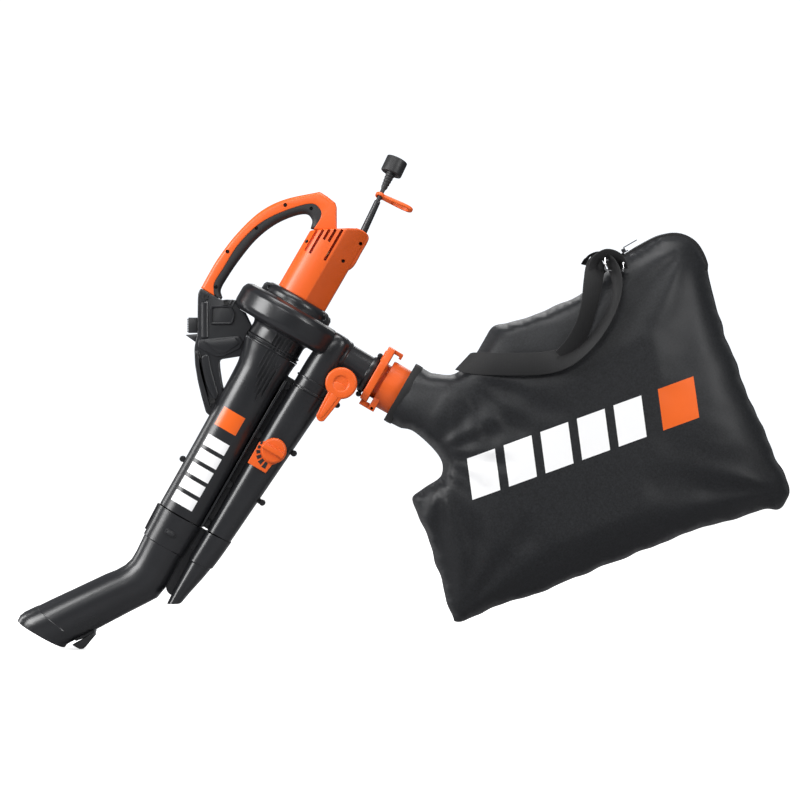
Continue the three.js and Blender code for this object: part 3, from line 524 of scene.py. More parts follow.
def carve(obj, parts, operation="DIFFERENCE"):
    """Cuts (or joins) solids with an exact boolean, and keeps the result as the piece's own mesh."""
    tool = linked("cutter", mesh_of("cutter", parts))
    modifier = obj.modifiers.new("carve", "BOOLEAN")
    modifier.operation = operation
    modifier.solver = "EXACT"
    modifier.object = tool
    bpy.context.view_layer.update()
    made = bpy.data.meshes.new_from_object(obj.evaluated_get(bpy.context.evaluated_depsgraph_get()))
    obj.modifiers.clear()
    old, obj.data = obj.data, made
    name = old.name
    bpy.data.meshes.remove(old)
    made.name = name
    bpy.data.objects.remove(tool)


def shade(mesh, angle):
    mesh.shade_smooth()
    mesh.set_sharp_from_angle(angle=math.radians(angle))


def piece(name, parts, look, body, stands_for=(), cuts=(), angle=32, join=False):
    obj = linked(name, mesh_of(name, parts[:1] if join else parts))
    if join:
        for part in parts[1:]:
            carve(obj, [part], "UNION")
    for cut in cuts:
        carve(obj, [cut])
    obj.data.materials.clear()
    obj.data.materials.append(look)
    shade(obj.data, angle)
    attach(obj, body)
    if stands_for:
        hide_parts(*stands_for)
    return obj


def pit(x, z, y0, y1, r=3.4, segments=24):
    """A plain round pin across the tool, to cut a screw pit with."""
    return along_axis((x, 0, z), (0, 1, 0), [(r, y0), (r, y1)], segments)


def screws(name, places, body, r=2.9):
    """Pan-head screws with a cross recess, sunk in their pits. places is [x, z, y of the head]."""
    parts = []
    for x, z, y in places:
        parts.append(along_axis((x, 0, z), (0, 1, 0), [(0.3, y), (r * 0.7, y + 0.1), (r, y + 0.8),
                                                       (r, y + 3)], 20))
        for wide, high in ((r * 0.55, 0.35), (0.35, r * 0.55)):
            parts.append(slab(x - wide, x + wide, y - 0.06, y + 0.4, z - high, z + high, 0.02, 1))
    return piece(name, parts, recess, body)


# ---------------------------------------------------------------- main handle
OUTER = [(-61, 194), (-106, 153), (-132, 113.5), (-147.5, 61), (-154, 11), (-154.6, -24), (-154, -48)]
MIDDLE = [(-38, 133.5), (-37.5, 156), (-45, 168), (-64, 168.5), (-96, 136), (-122, 96), (-135.6, 46.5),
          (-137.5, 0), (-138, -30), (-128, -48)]
INNER = [(-43.6, 132.5), (-48.5, 145.5), (-62.5, 150), (-82, 133.5), (-101.5, 105), (-115.5, 68),
         (-122.5, 25), (-125, -8), (-124.5, -33), (-116, -43.5)]


def handle():
    outer = np.concatenate([[(-4, 152.9), (-7.5, 158), (-24, 186.5), (-29, 191), (-46, 193.5)],
                            smooth(OUTER, 56)])
    middle = smooth(MIDDLE, 66)
    outline = np.concatenate([outer, middle[::-1]])
    r = np.concatenate([np.full(len(outer), 7.0), np.full(len(middle), 1.2)])
    r[0] = r[len(outer) - 1] = 1.5
    r[1:3] = 3.5
    screw_places = [(-100.3, 145), (-150 + 4.5, 27.8)]
    piece("handle_shell", [round_plate(outline, -17, 17, r, 5, 0.5)], orange, "housing",
          ("main_handle_left", "main_handle_right"), [pit(x, z, -30, -11) for x, z in screw_places])
    screws("handle_screws", [(x, z, -13) for x, z in screw_places], "housing")
    inner = smooth(INNER, 66)
    band = np.concatenate([shrink(outline, 0.8)[len(outer):][::-1], [(-116, -48)], inner[::-1]])
    r = np.concatenate([np.full(len(middle), 0.8), [1.0], np.full(len(inner), 9.0)])
    r[-1] = 4.0
    r[len(middle) + 1] = 3.0
    grip_places = [(-59.3, 162), (-123, 86.7), (-132.5, -34)]
    piece("grip_insert", [round_plate(band, -16, 16, r, 6, 0.4)], grip_look, "housing",
          ("inner_grip_left", "inner_grip_right"), [pit(x, z, -30, -10, 3.0) for x, z in grip_places])
    screws("grip_screws", [(x, z, -12) for x, z in grip_places], "housing", 2.6)
    tongue = rounded([(-150, -43), (-121, -43), (-121, -56), (-150, -56)], 2)
    piece("handle_tongue", [round_plate(tongue, -11, 11, 1.0, 3)], black, "housing")


# ---------------------------------------------------------------- motor cover
SECTION = [(-43, 0), (-42, -16), (-36, -31), (-26, -41), (-12, -46), (12, -46), (47, -17), (47, 17), (12, 46),
           (-12, 46), (-26, 41), (-36, 31), (-42, 16)]
SLOTS = [(-31, 94, 134), (-22, 94, 140), (-13, 126, 146), (-4, 127, 151), (6, 96, 156)]


def motor_cover():
    base, top, boss_top, rim = 22.35, 154.7, 171.0, 3.5
    section = []
    pts = np.asarray(SECTION, float)
    for i, (before, here, after) in enumerate(zip(np.roll(pts, 1, 0), pts, np.roll(pts, -1, 0))):
        share = 0.05 if i in (5, 6, 7, 8) else 0.3
        first, last = here + (before - here) * share, here + (after - here) * share
        mid = (first + here + (after - here) * share) / 2
        section += [first, here * 0.5 + mid * 0.5, last]
    section = np.array(section)
    rings = [columns(*section.T, z) for z in (base, 45, 70, 95)]
    for inset, back in quarter(5):
        flat = shrink(section, rim * inset)
        rings.append(columns(*flat.T, top + math.tan(LEAN) * section[:, 0] - rim * back))
    body = loft(rings)
    boss = smooth([(24, 90), (36, 92), (43.5, 98), (51.3, 113), (51.3, 140), (51, 163), (47, 171),
                   (36, 173.4),
                   (24, 172)], 40)
    boss = np.concatenate([[(18, 100)], boss, [(18, 166)]])
    cuts = [slab(0, 90, -60, 60, boss_top, boss_top + 40, 0.1)]
    for x, z0, z1 in SLOTS:
        for y0, y1 in ((-70, -31), (31, 70)):
            cuts.append(slab(x - 2.3, x + 2.3, y0, y1, z0, z1, 1.0))
    places = [(-37.5, 109.5, -29), (32.8, 111.4, -27), (43.2, 152, -13)]
    cuts += [pit(x, z, y - 40, y + 6, 3.2) for x, z, y in places]
    cuts.append(along_axis((36.6, 0, 160), (-0.087, 0, 1), [(6.9, 0), (6.9, 30)], 24))
    piece("motor_cover", [body], orange, "housing", ("motor_housing_left", "motor_housing_right"), cuts)
    near_boss = cuts[-3:]
    piece("cord_boss", [round_plate(boss, -14, 14, 3.0, 4, 0.4)], orange, "housing", (), near_boss)
    screws("motor_screws", [(x, z, y + 3.5) for x, z, y in places], "housing", 2.6)


# ---------------------------------------------------------------- fan case
FIN_X = (-1.5, 4.6, 10.7, 16.8, 22.9, 29)
FIN_ENDS = (-118, -132, -146, -158, -168, -156)


def fin(x, outline):
    """A thin upright plate at x; its outline is in y and z."""
    verts, faces = round_plate(outline, x - 0.8, x + 0.8, 0.4, 2)
    return verts[:, [1, 0, 2]], faces


def fan_case():
    profile = arc_profile([
        (13, 3), (40, 3), (40, 22), (52, 22), (57.5, 19), (60.5, 13), (60.5, 4), (80, 3), (90, -1.5),
        (94, -10), (94, -34), (91, -41), (82, -46), (50.5, -46.5), (48.4, -52), (48.4, -70), (50.6, -71.2),
        (50.6, -73.4), (48.6, -74.6), (48.6, -76), (51.2, -77.4), (51.2, -80), (45.4, -80), (45.4, -43),
        (80, -43), (91, -36), (91, -10), (81, 0), (13, 0),
    ], 2.4, 3)
    shell = along_axis((0, 0, 0), (0, 0, 1), profile, 128, closed=True)
    ear = [(44, 3), (64, 3), (64, 12), (61, 17), (56, 18.5), (44, 18.5)]
    places = [(-53, 10.5), (53, 11)]
    fins = []
    for x in FIN_X:
        y = -math.sqrt(48.4 ** 2 - x * x)
        fins.append(fin(x, [(y - 2.6, -50), (y + 6, -46.8), (y + 6, -79.8), (y - 2.8, -79.8)]))
    piece("fan_case", [shell] + fins, black, "housing", ("fan_housing_left", "fan_housing_right"), angle=30)
    for i, (side, (x, z)) in enumerate(zip((-1, 1), places)):
        outline = [(side * px, pz) for px, pz in ear]
        piece("fan_ear_%d" % (i + 1), [round_plate(outline, -32, 32, 2.2, 4)], black, "housing", (),
              [pit(x, z, -50, -27, 3.6)])
    screws("ear_screws", [(x, z, -29.2) for x, z in places], "housing", 3.0)


# ---------------------------------------------------------------- diverter case
PIVOT = (133.7, -69.0)


def diverter_case():
    rows = [(61.5, -111, 127.5, -111, 37), (61.5, -94, 128, -94, 38.5), (61.5, -80, 130, -80, 40),
            (62, -60, 125, -60, 42), (64, -40, 119.5, -40, 43.5), (68, -20, 118.5, -18, 43.5),
            (72, -8, 116.5, -7, 41), (75, -1.5, 112, -1.5, 37), (78, 1.6, 106, 1.6, 31),
            (82, 2.4, 100, 2.4, 20)]
    elbow = solid_duct(smooth(rows, 36), 2.5, 72)
    pipe = along_axis((104, 0, -33), (1, 0, 0), arc_profile([
        (26.8, 0), (33.5, 0), (33.5, 12), (30.6, 15), (30.0, 58), (30.0, 88), (29.2, 92), (26.8, 92),
        (26.8, 0.1),
    ], 1.2, 3), 72, closed=True)
    crotch = [(108, -62), (128, -60), (139, -63), (149, -67), (151, -80), (143, -91), (128, -95), (108, -93)]
    fork = [(106, -14), (118, -22), (135, -60), (106, -64)]
    webs = [round_plate(rounded(crotch, 5), *sorted((y * 29.5, y * 35)), 2.5, 5) for y in (-1, 1)]
    webs += [round_plate(rounded(fork, 5), *sorted((y * 23.5, y * 27.5)), 1.8, 4) for y in (-1, 1)]
    boss = button(*PIVOT, -46.6, 40, 19, 2.0)
    bands = []
    for z in (-90.5, -108.2):
        rows = [(59.8, -1.6, 129.6, 39.8), (59.4, -1.0, 130, 40.2), (59.4, 1.0, 130, 40.2),
                (59.8, 1.6, 129.6, 39.8)]
        bands.append(solid_duct([(xa, z + dz, xb, z + dz, half) for xa, dz, xb, half in rows], 2.6, 72))
    lugs = []
    for up in (1, -1):
        lugs.append(button(167, -33 + up * 37, -8.5, 8.5, 4.8, 1.6, 24))
        a, b = sorted((-33 + up * 27, -33 + up * 37))
        lugs.append(slab(164, 170, -6, 6, a, b, 1.0))
    collar = along_axis((160, 0, -33), (1, 0, 0), arc_profile([
        (29, 0), (32.2, 0), (33.2, 3), (33.2, 8), (32.2, 11.2), (29, 11.2)], 0.8, 3), 72)
    lug = [button(145, -104.8, -7, 7, 5.2, 1.4, 24), slab(126, 145, -4, 4, -108.5, -98, 1.5)]
    piece("diverter_case", [elbow, pipe, *webs, boss, *bands, *lugs, collar, *lug], black, "housing",
          ("diverter_housing_left", "diverter_housing_right"), angle=35)


# ---------------------------------------------------------------- twin ducts
SUCTION = [(-50.5, -80.6, 50.5, -80.6, 50.5), (-47, -90, 49, -90, 49.5), (-40, -115, 47.5, -115, 46.5),
           (-37, -140, 46.5, -140, 45.5), (-34.5, -230, 47.5, -230, 44.5), (-32.6, -330, 49.3, -330, 43.6),
           (-32, -398, 50, -398, 43)]
BLOWER = [(60.5, -111.6, 126.5, -111.6, 37), (60, -150, 123, -150, 35.8), (60, -250, 115.5, -250, 33),
          (60, -350, 108, -350, 31), (60, -397, 104.5, -397, 30)]
SEAM = [(55.5, -119), (55.3, -215), (54.3, -312), (54.2, -387)]


def ducts():
    parts = [tube(smooth(SUCTION, 40), 2.6, 2.35, 72), tube(smooth(BLOWER, 24), 2.6, 2.9, 72)]
    web = [(44, -96), (49, -104), (61, -104), (63, -113), (63, -397), (44, -397), (42, -300)]
    parts.append(round_plate(web, -6, 6, 1.0))
    edge = [(47, -113), (52.5, -113), (51.4, -250), (52, -397), (48, -397)]
    parts.append(round_plate(edge, -26, 26, 1.2))
    for x, z in SEAM:
        parts.append(button(x, z, -13, 13, 6.4, 1.2, 24))
    for x, z, inner in ((-36.5, -315, 12), (122.5, -212.8, -14), (118, -312, -14)):
        parts.append(button(x, z, -7, 7, 5.3, 1.4, 24))
        a, b = sorted((x, x + inner))
        parts.append(slab(a, b, -4.5, 4.5, z - 4.5, z + 4.5, 1.2))
    # Long fins run down from the collar ring on the knob side.
    for x, end in zip(FIN_X, FIN_ENDS):
        y_top = -math.sqrt(50.2 ** 2 - x * x)
        y_low = -46.5 * (1 - abs((x - 6) / 42) ** 2.35) ** (1 / 2.35)
        parts.append(fin(x, [(y_top - 2.0, -81), (y_top + 8, -81), (y_low + 8, end), (y_low + 0.6, end),
                             (y_low - 2.6, end + 9)]))
    piece("duct_pair", parts, printed_black, "housing",
          ("suction_duct_left", "suction_duct_right", "blower_duct_left", "blower_duct_right"), angle=35)


# ---------------------------------------------------------------- lower handle
BLOCK = [(-154, -48.4), (-128, -48.4), (-113, -48.4), (-106, -43), (-88, -34), (-60, -52), (-40, -66),
         (-38, -84), (-34, -111), (-67, -137.8), (-59, -150), (-44, -169), (-30, -184), (-28, -228),
         (-40, -227.5), (-61, -207), (-80, -187), (-98, -165), (-112, -143), (-117, -130), (-120.5, -117),
         (-140.7, -82), (-149, -67), (-153.5, -58)]
GUARD = [(-110, -118), (-119.6, -118.2), (-137.3, -130.3), (-116.4, -132.3), (-108, -132)]


def face(side, outline, low, high, radius, reach=2.5):
    """A low raised shape on one side of the lower handle, from depth low to depth high."""
    y0, y1 = sorted((side * low, side * high))
    return round_plate(rounded(outline, reach), y0, y1, radius, 3)


def post(side, x, z0, z1, radius, depth):
    """A round column standing upright, most of it sunk in the side of the lower handle."""
    foot, top = upright(x, side * depth, z0), upright(x, side * depth, z1)
    length = np.linalg.norm(top - foot)
    ends = [(radius * 0.35, 0), (radius * 0.8, 1.2), (radius, 4), (radius, length - 4),
            (radius * 0.8, length - 1.2),
            (radius * 0.35, length)]
    return along_axis(foot, top - foot, ends, 32)


PANEL = [(-124, -66), (-94.5, -47.5), (-80, -58), (-76, -75), (-109, -94.5)]
STRUT = [(-113, -126), (-104, -119), (-56, -86), (-46, -92), (-45, -104), (-64, -131), (-72, -135.5),
         (-108, -138)]
LEDGE = [(-106, -124), (-60, -92), (-50, -97), (-62, -122), (-72, -129)]
SPINE = [(-101, -143), (-90, -161), (-73, -180), (-52, -199), (-40, -210), (-38, -216), (-50, -211),
         (-64, -201), (-82, -183), (-98, -163), (-108, -147)]
SLIM = [(-86, -140), (-76, -151), (-62, -166), (-46, -181), (-38, -190), (-37, -200), (-48, -196),
        (-66, -183), (-84, -163), (-94, -148)]
RIM = [(0, 16.5), (0, 19.2), (0.9, 20.4), (2.6, 20.4), (3.6, 19.4), (3.9, 17.0), (3.9, 16.5)]
BOSSES = [(-139.2, -57.5), (-104.5, -48.2), (-99.7, -150.4), (-41.3, -204), (-84, -122)]


def lower_handle():
    clear = along_axis((0, 0, 0), (0, 0, 1), [(94.3, 20), (94.3, -34), (91.3, -41.3), (82, -46.4),
                                              (51.6, -46.8), (51.6, -81)], 96)
    tube_clear = solid_duct(smooth([(-50.8, -80.6, 50.8, -80.6, 51), (-40.3, -115, 48, -115, 47),
                                    (-37.3, -140, 47, -140, 46), (-34.8, -230, 48, -230, 45),
                                    (-33, -300, 48, -300, 44)], 16), 2.35, 64)
    piece("handle_block", [round_plate(rounded(BLOCK, 5.0), -17.5, 17.5, 2.0, 4, 0.4)], black, "housing",
          ("lower_handle_left", "lower_handle_right"), [clear, tube_clear])
    piece("handle_guard", [round_plate(rounded(GUARD, 1.5), -13, 13, 0.9, 3)], black, "housing")
    for side, name in ((-1, "near"), (1, "far")):
        parts = [face(side, STRUT, 16.5, 20.4, 1.4), face(side, LEDGE, 19.5, 22.0, 0.9),
                 face(side, smooth(SPINE, 40, True), 16.5, 19.6, 1.4, 0.5),
                 face(side, smooth(SLIM, 40, True), 16.5, 20.2, 2.0, 0.5),
                 post(side, -150.5, -52, 14, 10.0, 10.5), post(side, -139.5, -100, -62, 7.0, 12.5)]
        for k in range(4):
            x, z = -98 + 5.0 * k, -38.5 + 0.6 * k
            vent = [(x, z), (x + 1.8, z + 0.4), (x + 1.8, z - 11), (x, z - 9)]
            parts.append(face(side, vent, 16.5, 19.8, 0.5, 0.4))
        piece("handle_relief_" + name, parts, black, "housing", (), [clear, tube_clear], angle=34)
        rings = []
        for inset, depth in RIM:
            flat = shrink(rounded(PANEL, 5, 4), inset)
            rings.append(columns(flat[:, 0], side * depth, flat[:, 1]))
        piece("handle_rim_" + name, [loft(rings, closed=True)], black, "housing", (), angle=34)
        parts = []
        y0, y1 = sorted((side * 17, side * 20.8))
        a, b = sorted((side * 17.2, side * 19.4))
        collar_ring = arc_profile([(4.7, y0), (4.7, y1), (3.2, y1), (3.2, y0)], 0.3, 1)
        for x, z in BOSSES:
            parts.append(along_axis((x, 0, z), (0, 1, 0), collar_ring, 24, closed=True))
            parts.append(along_axis((x, 0, z), (0, 1, 0), [(3.15, a), (3.15, b)], 20))
        piece("handle_bosses_" + name, parts, recess, "housing")


def switch_button():
    foot = np.array([-120.0, 0, -117.4])

    def leaning(*size):
        verts, faces = slab(*size)
        return verts @ ROT + foot, faces

    parts = [leaning(-16.4, -1.4, -8, 8, 1, 27, 1.4), leaning(-2, 6, -4.2, 4.2, 2.4, 25.6, 0.6)]
    parts += [leaning(-18.6, -15.6, -7.4, 7.4, 2.2 + 3.0 * i, 3.8 + 3.0 * i, 0.5) for i in range(8)]
    piece("switch_button", parts, satin, "switch", ("switch_slider",))


# ---------------------------------------------------------------- nozzle
NOZZLE = [(-32.8, -400.2, 50.4, -400.2, 43.8), (-31, -430, 49.6, -430, 43.2),
          (-30.4, -456.5, 48.8, -456.5, 42.8), (-28.6, -458, 47.0, -458, 41.4),
          (-27.6, -470, 46.6, -470, 41.2), (-26.2, -490, 47.6, -494, 41.4), (-26.5, -505, 48.4, -516, 42),
          (-31, -520, 44, -541, 43), (-40, -535, 32, -560, 43.8), (-52, -550, 17, -583, 44.5),
          (-84, -596, -15, -634, 46), (-110, -633, -30, -658, 47.2), (-124, -654, -37, -667, 48.2),
          (-125.6, -654.5, -37.6, -668, 49.0), (-139, -674, -46, -681, 49.2),
          (-142.5, -683, -49.4, -686.5, 49.0), (-142, -692, -50, -692, 48.4)]
TIP = [(58.2, -400.2, 106, -397, 31.8), (57.8, -430, 103.4, -427, 31.2), (57.6, -456, 100.4, -451, 30.8),
       (59.4, -458, 98.4, -453, 29.2), (60.2, -480, 94.4, -476, 30), (61.8, -515, 87.5, -508, 32.4),
       (63.5, -540, 84, -528, 34)]


def nozzle():
    body = tube(NOZZLE, 2.4, 2.4, 80)
    tip = tube(TIP, 2.2, 2.9, 64)
    bridge = round_plate([(43, -400.4), (63, -400.4), (63, -457), (46, -460)], -8, 8, 1.4)
    web = [(26, -440), (66, -440), (69, -517), (62, -526), (51, -522), (38, -500), (22, -470)]
    root = [(-38, -673), (-16.5, -645), (-28, -628), (-54, -662)]
    key = [(-35.6, -401), (-31, -401), (-28.8, -449), (-33.4, -449)]
    slot = [(1.2, -431.6), (3, -427.4), (18, -427.4), (20.4, -431.6), (18, -435.8), (3, -435.8)]
    parts = [body, tip, bridge, round_plate(rounded(web, 4), -9, 9, 1.6),
             round_plate(rounded(root, 3), -17, 17, 1.4),
             round_plate(key, -9, 9, 1.2), round_plate(smooth(slot, 32, True), -46.2, -40, 1.0, 3)]
    piece("nozzle_shell", parts, black, "nozzle", ("nozzle_duct", "blower_tip"), angle=30)
    latch = [(4.6, -431.6), (6, -428.9), (16.6, -428.9), (18.2, -431.6), (16.6, -434.4), (6, -434.4)]
    piece("nozzle_latch", [round_plate(smooth(latch, 28, True), -48.2, -42.0, 1.2, 3)], satin, "nozzle_latch",
          ("nozzle_latch_button",))
    foot = [(-19, -644.2), (-15.5, -650), (-20.5, -677), (-25.5, -680.5), (-40.5, -681), (-33.2, -669.5)]
    piece("foot", [round_plate(foot, -20, 20, 1.8, 3)], rubber, "nozzle", ("ground_foot",))


# ---------------------------------------------------------------- diverter lever, air knob
def lever():
    x, z = PIVOT
    dish = arc_profile([(11.2, -54.4), (13.6, -57), (24.6, -57), (26.8, -54.6), (26.8, -47)], 1.4, 3)
    disc = along_axis((x, 0, z), (0, 1, 0), [(0.2, -54.4), *dish, (0.2, -47)], 72)
    arm = [(-12, -16), (-9.8, -62), (-7.5, -70), (-1, -73.4), (5, -71), (7.6, -64), (13.5, -20), (10, -2),
           (-10, -2)]
    outline = smooth([(x + a, z + b) for a, b in arm], 48, True)
    ridge = [(x + a, z + b) for a, b in ((-6.5, -22), (-5.2, -62), (-1, -67.5), (2.6, -62), (7.4, -24))]
    piece("lever", [disc, round_plate(outline, -56.2, -47.6, 2.0, 4), round_plate(ridge, -57.4, -55, 1.0, 3)],
          orange, "diverter", ("diverter_lever",))


def air_knob():
    x, z = 92.0, -224.0
    disc = along_axis((x, 0, z), (0, 1, 0), arc_profile([(0.2, -46.5), (18.5, -46.5), (21.5, -44),
                                                         (21.5, -38.5), (0.2, -38.5)], 1.2, 3), 64)
    bar = [(x - 20, z - 4.6), (x + 19, z - 4.6), (x + 20, z), (x + 19, z + 4.6), (x - 20, z + 4.6)]
    step = [(x - 19, z - 7), (x + 18.4, z - 7), (x + 18.4, z + 7), (x - 19, z + 7)]
    piece("knob", [disc, round_plate(bar, -54, -45, 1.6, 4), round_plate(step, -48.8, -45, 1.6, 4)], orange,
          "air_control", ("air_knob",))
    seat = [(63.5, -264), (99, -264), (101, -247), (107, -240), (107, -210), (86, -205), (63.5, -224)]
    piece("vent_scale", [round_plate(seat, -38, -24, 1.0)], orange, "housing", ("vent_plate",))
    marks = []
    half_turn = 0.11
    for i, degrees in enumerate((178, 196, 214, 232, 250, 268)):
        a = math.radians(degrees)
        low, high = 23.2, 26.6 + 1.6 * i
        outline = [(x + r * math.cos(b), z + r * math.sin(b)) for r, b in (
            (low, a - half_turn), (high, a - half_turn), (high, a + half_turn), (low, a + half_turn))]
        marks.append(round_plate(outline, -38.25, -36, 0.1, 1))
    piece("vent_marks", marks, recess, "housing")


# ---------------------------------------------------------------- cord, plug and hook
CORD_X, CORD_Z, CORD_LEAN, CORD_BACK = 36.6, 172.0, -0.087, 0.16


def cord_at(along):
    return np.array([CORD_X + CORD_LEAN * along, CORD_BACK * max(0.0, along - 60), CORD_Z + along])


def cord_and_plug():
    start, direction = cord_at(-8), cord_at(58) - cord_at(-8)
    length = np.linalg.norm(direction)
    sleeve_profile = [(3.95, length), (4.9, length), (5.25, length - 0.6)]
    for k in range(22):
        t = 1 - (k + 1) / 23
        sleeve_profile.append((5.25 + 1.1 * (1 - t), length * t))
    sleeve_profile += [(6.4, 0), (3.95, 0)]
    sleeve = piece("cord_relief", [along_axis(start, direction, sleeve_profile, 36, closed=True)], black,
                   "housing", ("cord_sleeve",))
    # The lead runs straight out of its sleeve, then eases back into the plug.
    runs = np.linspace(-12, 81, 24)
    path = np.array([cord_at(a) for a in runs])
    for p, a in zip(path[:-1], runs):
        p[1] = 0.16 * max(0.0, a - 60) ** 2 / 42
    world_path = place(path)
    curve = bpy.data.curves.new("lead", "CURVE")
    curve.dimensions = "3D"
    curve.bevel_depth = 0.00375
    curve.bevel_resolution = 6
    curve.use_fill_caps = True
    spline = curve.splines.new("POLY")
    spline.points.add(len(world_path) - 1)
    for point, p in zip(spline.points, world_path):
        point.co = (*p, 1)
    lead = linked("lead", curve)
    curve.materials.append(rubber)
    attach(lead, "housing")
    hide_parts("power_cord")

    base = cord_at(82)
    way = cord_at(110) - base
    profile = [(4.2, -1.5), (5.0, 0.0)]
    for k in range(5):
        z0 = 1.5 + 5.4 * k
        r = 5.2 + 0.55 * k
        profile += [(r, z0), (r + 0.5, z0 + 0.8), (r + 0.5, z0 + 3.2), (r - 0.1, z0 + 4.0)]
    profile += [(8.0, 29.0), (8.2, 37)]
    stem = piece("plug_stem", [along_axis(base, way, profile, 32)], rubber, "housing", ("plug_body",))
    head_base = cord_at(110)
    rim = arc_profile([
        (8.6, 2.2), (13.0, 2.2), (15.4, -0.2), (17.6, -0.2), (18.6, 1.2), (18.6, 26.4), (17.8, 27.4),
        (15.8, 27.4), (15.8, 13.2), (8.6, 13.2)], 0.8, 3)
    head = piece("plug_head", [along_axis(head_base, way, rim, 64, closed=True)], rubber, "housing",
                 ("plug_shroud",))


def hook():
    centre = cord_at(68)
    tilt = math.atan(CORD_LEAN)
    roll = math.radians(-26)
    ring = [(8.6 * math.cos(a), 8.6 * math.sin(a)) for a in np.linspace(0.75, 2 * math.pi - 0.75, 34)]
    tail = [(14, -6.6), (26, -7.4), (44, -8.2), (56, -6.4), (60.5, 0), (56, 6.4), (44, 8.2), (26, 7.4),
            (14, 6.6)]
    outline = np.concatenate([ring, smooth(tail, 40)])
    window = [(23, -3), (23, 3), (36, 4.2), (48, 4.4), (54, 0), (48, -4.4), (36, -4.2)]
    spine = [(18, -2.2), (34, -1.4), (44, 0), (34, 1.4), (18, 2.2)]

    def turn(part):
        verts, faces = part
        x, y, z = verts.T
        c, s = math.cos(tilt), math.sin(tilt)
        flat, rise = z * math.cos(roll) - y * math.sin(roll), z * math.sin(roll) + y * math.cos(roll)
        return columns(x * c + rise * s, flat, -x * s + rise * c) + centre, faces

    clip = round_plate(outline, -3.0, 3.0, 1.4, 4)
    eye = along_axis((0, 0, 0), (0, 1, 0), [(5.9, -9), (5.9, 9)], 28)
    hole = round_plate(smooth(window, 36, True), -8, 8, 0.1, 1)
    nib = round_plate(smooth(spine, 20, True), 1.6, 6.4, 0.9, 3)
    piece("cord_clip", [turn(clip), turn(nib)], orange, "cord_hook", ("cord_hook",), [turn(eye), turn(hole)])


# ---------------------------------------------------------------- bag collar
def collar():
    z = -33.0
    n = 144
    angles = np.arange(n) * 2 * math.pi / n
    wave = 0.28 * (np.arange(n) % 3 == 0)
    rings = []
    for x, r, ripple in ((193, 40.6, 0), (193.8, 41.6, 0), (198, 41.9, 1), (244, 41.2, 1), (246, 40.6, 0),
                         (246, 38.5, 0), (197, 38.5, 0), (193, 32, 0)):
        radius = r - wave * ripple
        rings.append(columns(x, radius * np.cos(angles), z + radius * np.sin(angles)))
    ears = [slab(193, 204, y, y + 5, z - 51, z - 28, 1.2) for y in (-31, 26)]
    ears.append(along_axis((174, 0, z), (1, 0, 0), [(30.5, 0), (31.8, 0.4), (31.8, 20), (30.5, 20)], 72,
                           closed=True))
    piece("collar_sleeve", [loft(rings, closed=True), *ears], orange, "bag", ("bag_collar",), angle=24)
    around = np.array([(-38, -42), (38, -42), (47, -30), (47, 30), (30, 59), (-30, 59), (-47, 30),
                       (-47, -30)], float)
    pts = []
    for before, p, after in zip(np.roll(around, 1, 0), around, np.roll(around, -1, 0)):
        pts += [p + (other - p) * t for other, t in ((before, 0.22), (before, 0.08), (after, 0.08),
                                                     (after, 0.22))]
    v, f = round_plate(pts, 172.4, 185.5, 2.0, 4)
    plate = (columns(v[:, 1], v[:, 0], v[:, 2] + z), f)
    hole = along_axis((150, 0, z), (1, 0, 0), [(33.6, 0), (33.6, 60)], 72)
    tab = [slab(184, 200, -15, 15, z + 52, z + 58.6, 1.6, 3),
           slab(196, 200.6, -15, 15, z + 48.5, z + 57, 1.2, 3),
           slab(170.8, 174, -26, 26, z + 30, z + 50, 1.2, 3)]
    bars = [slab(176, 203, -24, 24, z - 51, z - 43.6, 1.8, 3),
            slab(176, 192.3, -24, 24, z - 50.8, z - 41.5, 1.5, 3)]
    piece("collar_frame", [plate, *tab, *bars], orange, "bag_latch", ("collar_latch",), [hole], join=True)


# ---------------------------------------------------------------- bag
OUTLINE = [(256, 22.1), (292, 41.7), (305, 90), (309, 141), (336, 170.7), (397, 246), (418, 292), (440, 358),
           (456, 386), (476, 416), (503, 436), (534, 438), (563, 421.5), (584, 398), (608, 373), (640, 342),
           (679, 309), (725, 272), (771, 236.3), (820, 201), (862, 172), (882, 156), (888.5, 140), (883, 119),
           (860, 100.5), (810, 48), (756, -11.5), (715, -65), (668, -123.4), (614, -194), (563.5, -252),
           (530, -294), (506, -322), (492, -318), (455, -282), (414, -243.5), (374, -210), (341, -183),
           (337, -168), (352, -135), (357, -117), (347, -99), (321.5, -86.9), (280, -78.6), (257, -84.9)]
HEM_X, HEM_TOP, HEM_LOW = 227.4, 22.6, -86.0
HEM_CENTRE, HEM_RADIUS = (HEM_TOP + HEM_LOW) / 2, (HEM_TOP - HEM_LOW) / 2
FULLNESS, NECK, MOST_DEPTH = 84.0, 50.0, 83.0


def within(outline, x, z):
    """Which of the points lie inside an outline: those with an odd number of its sides on their right."""
    inside = np.zeros(x.shape, bool)
    for (x0, z0), (x1, z1) in zip(outline, np.roll(outline, -1, axis=0)):
        crosses = (z0 > z) != (z1 > z)
        with np.errstate(divide="ignore", invalid="ignore"):
            at = (x1 - x0) * (z - z0) / (z1 - z0) + x0
        inside ^= crosses & (x < at)
    return inside


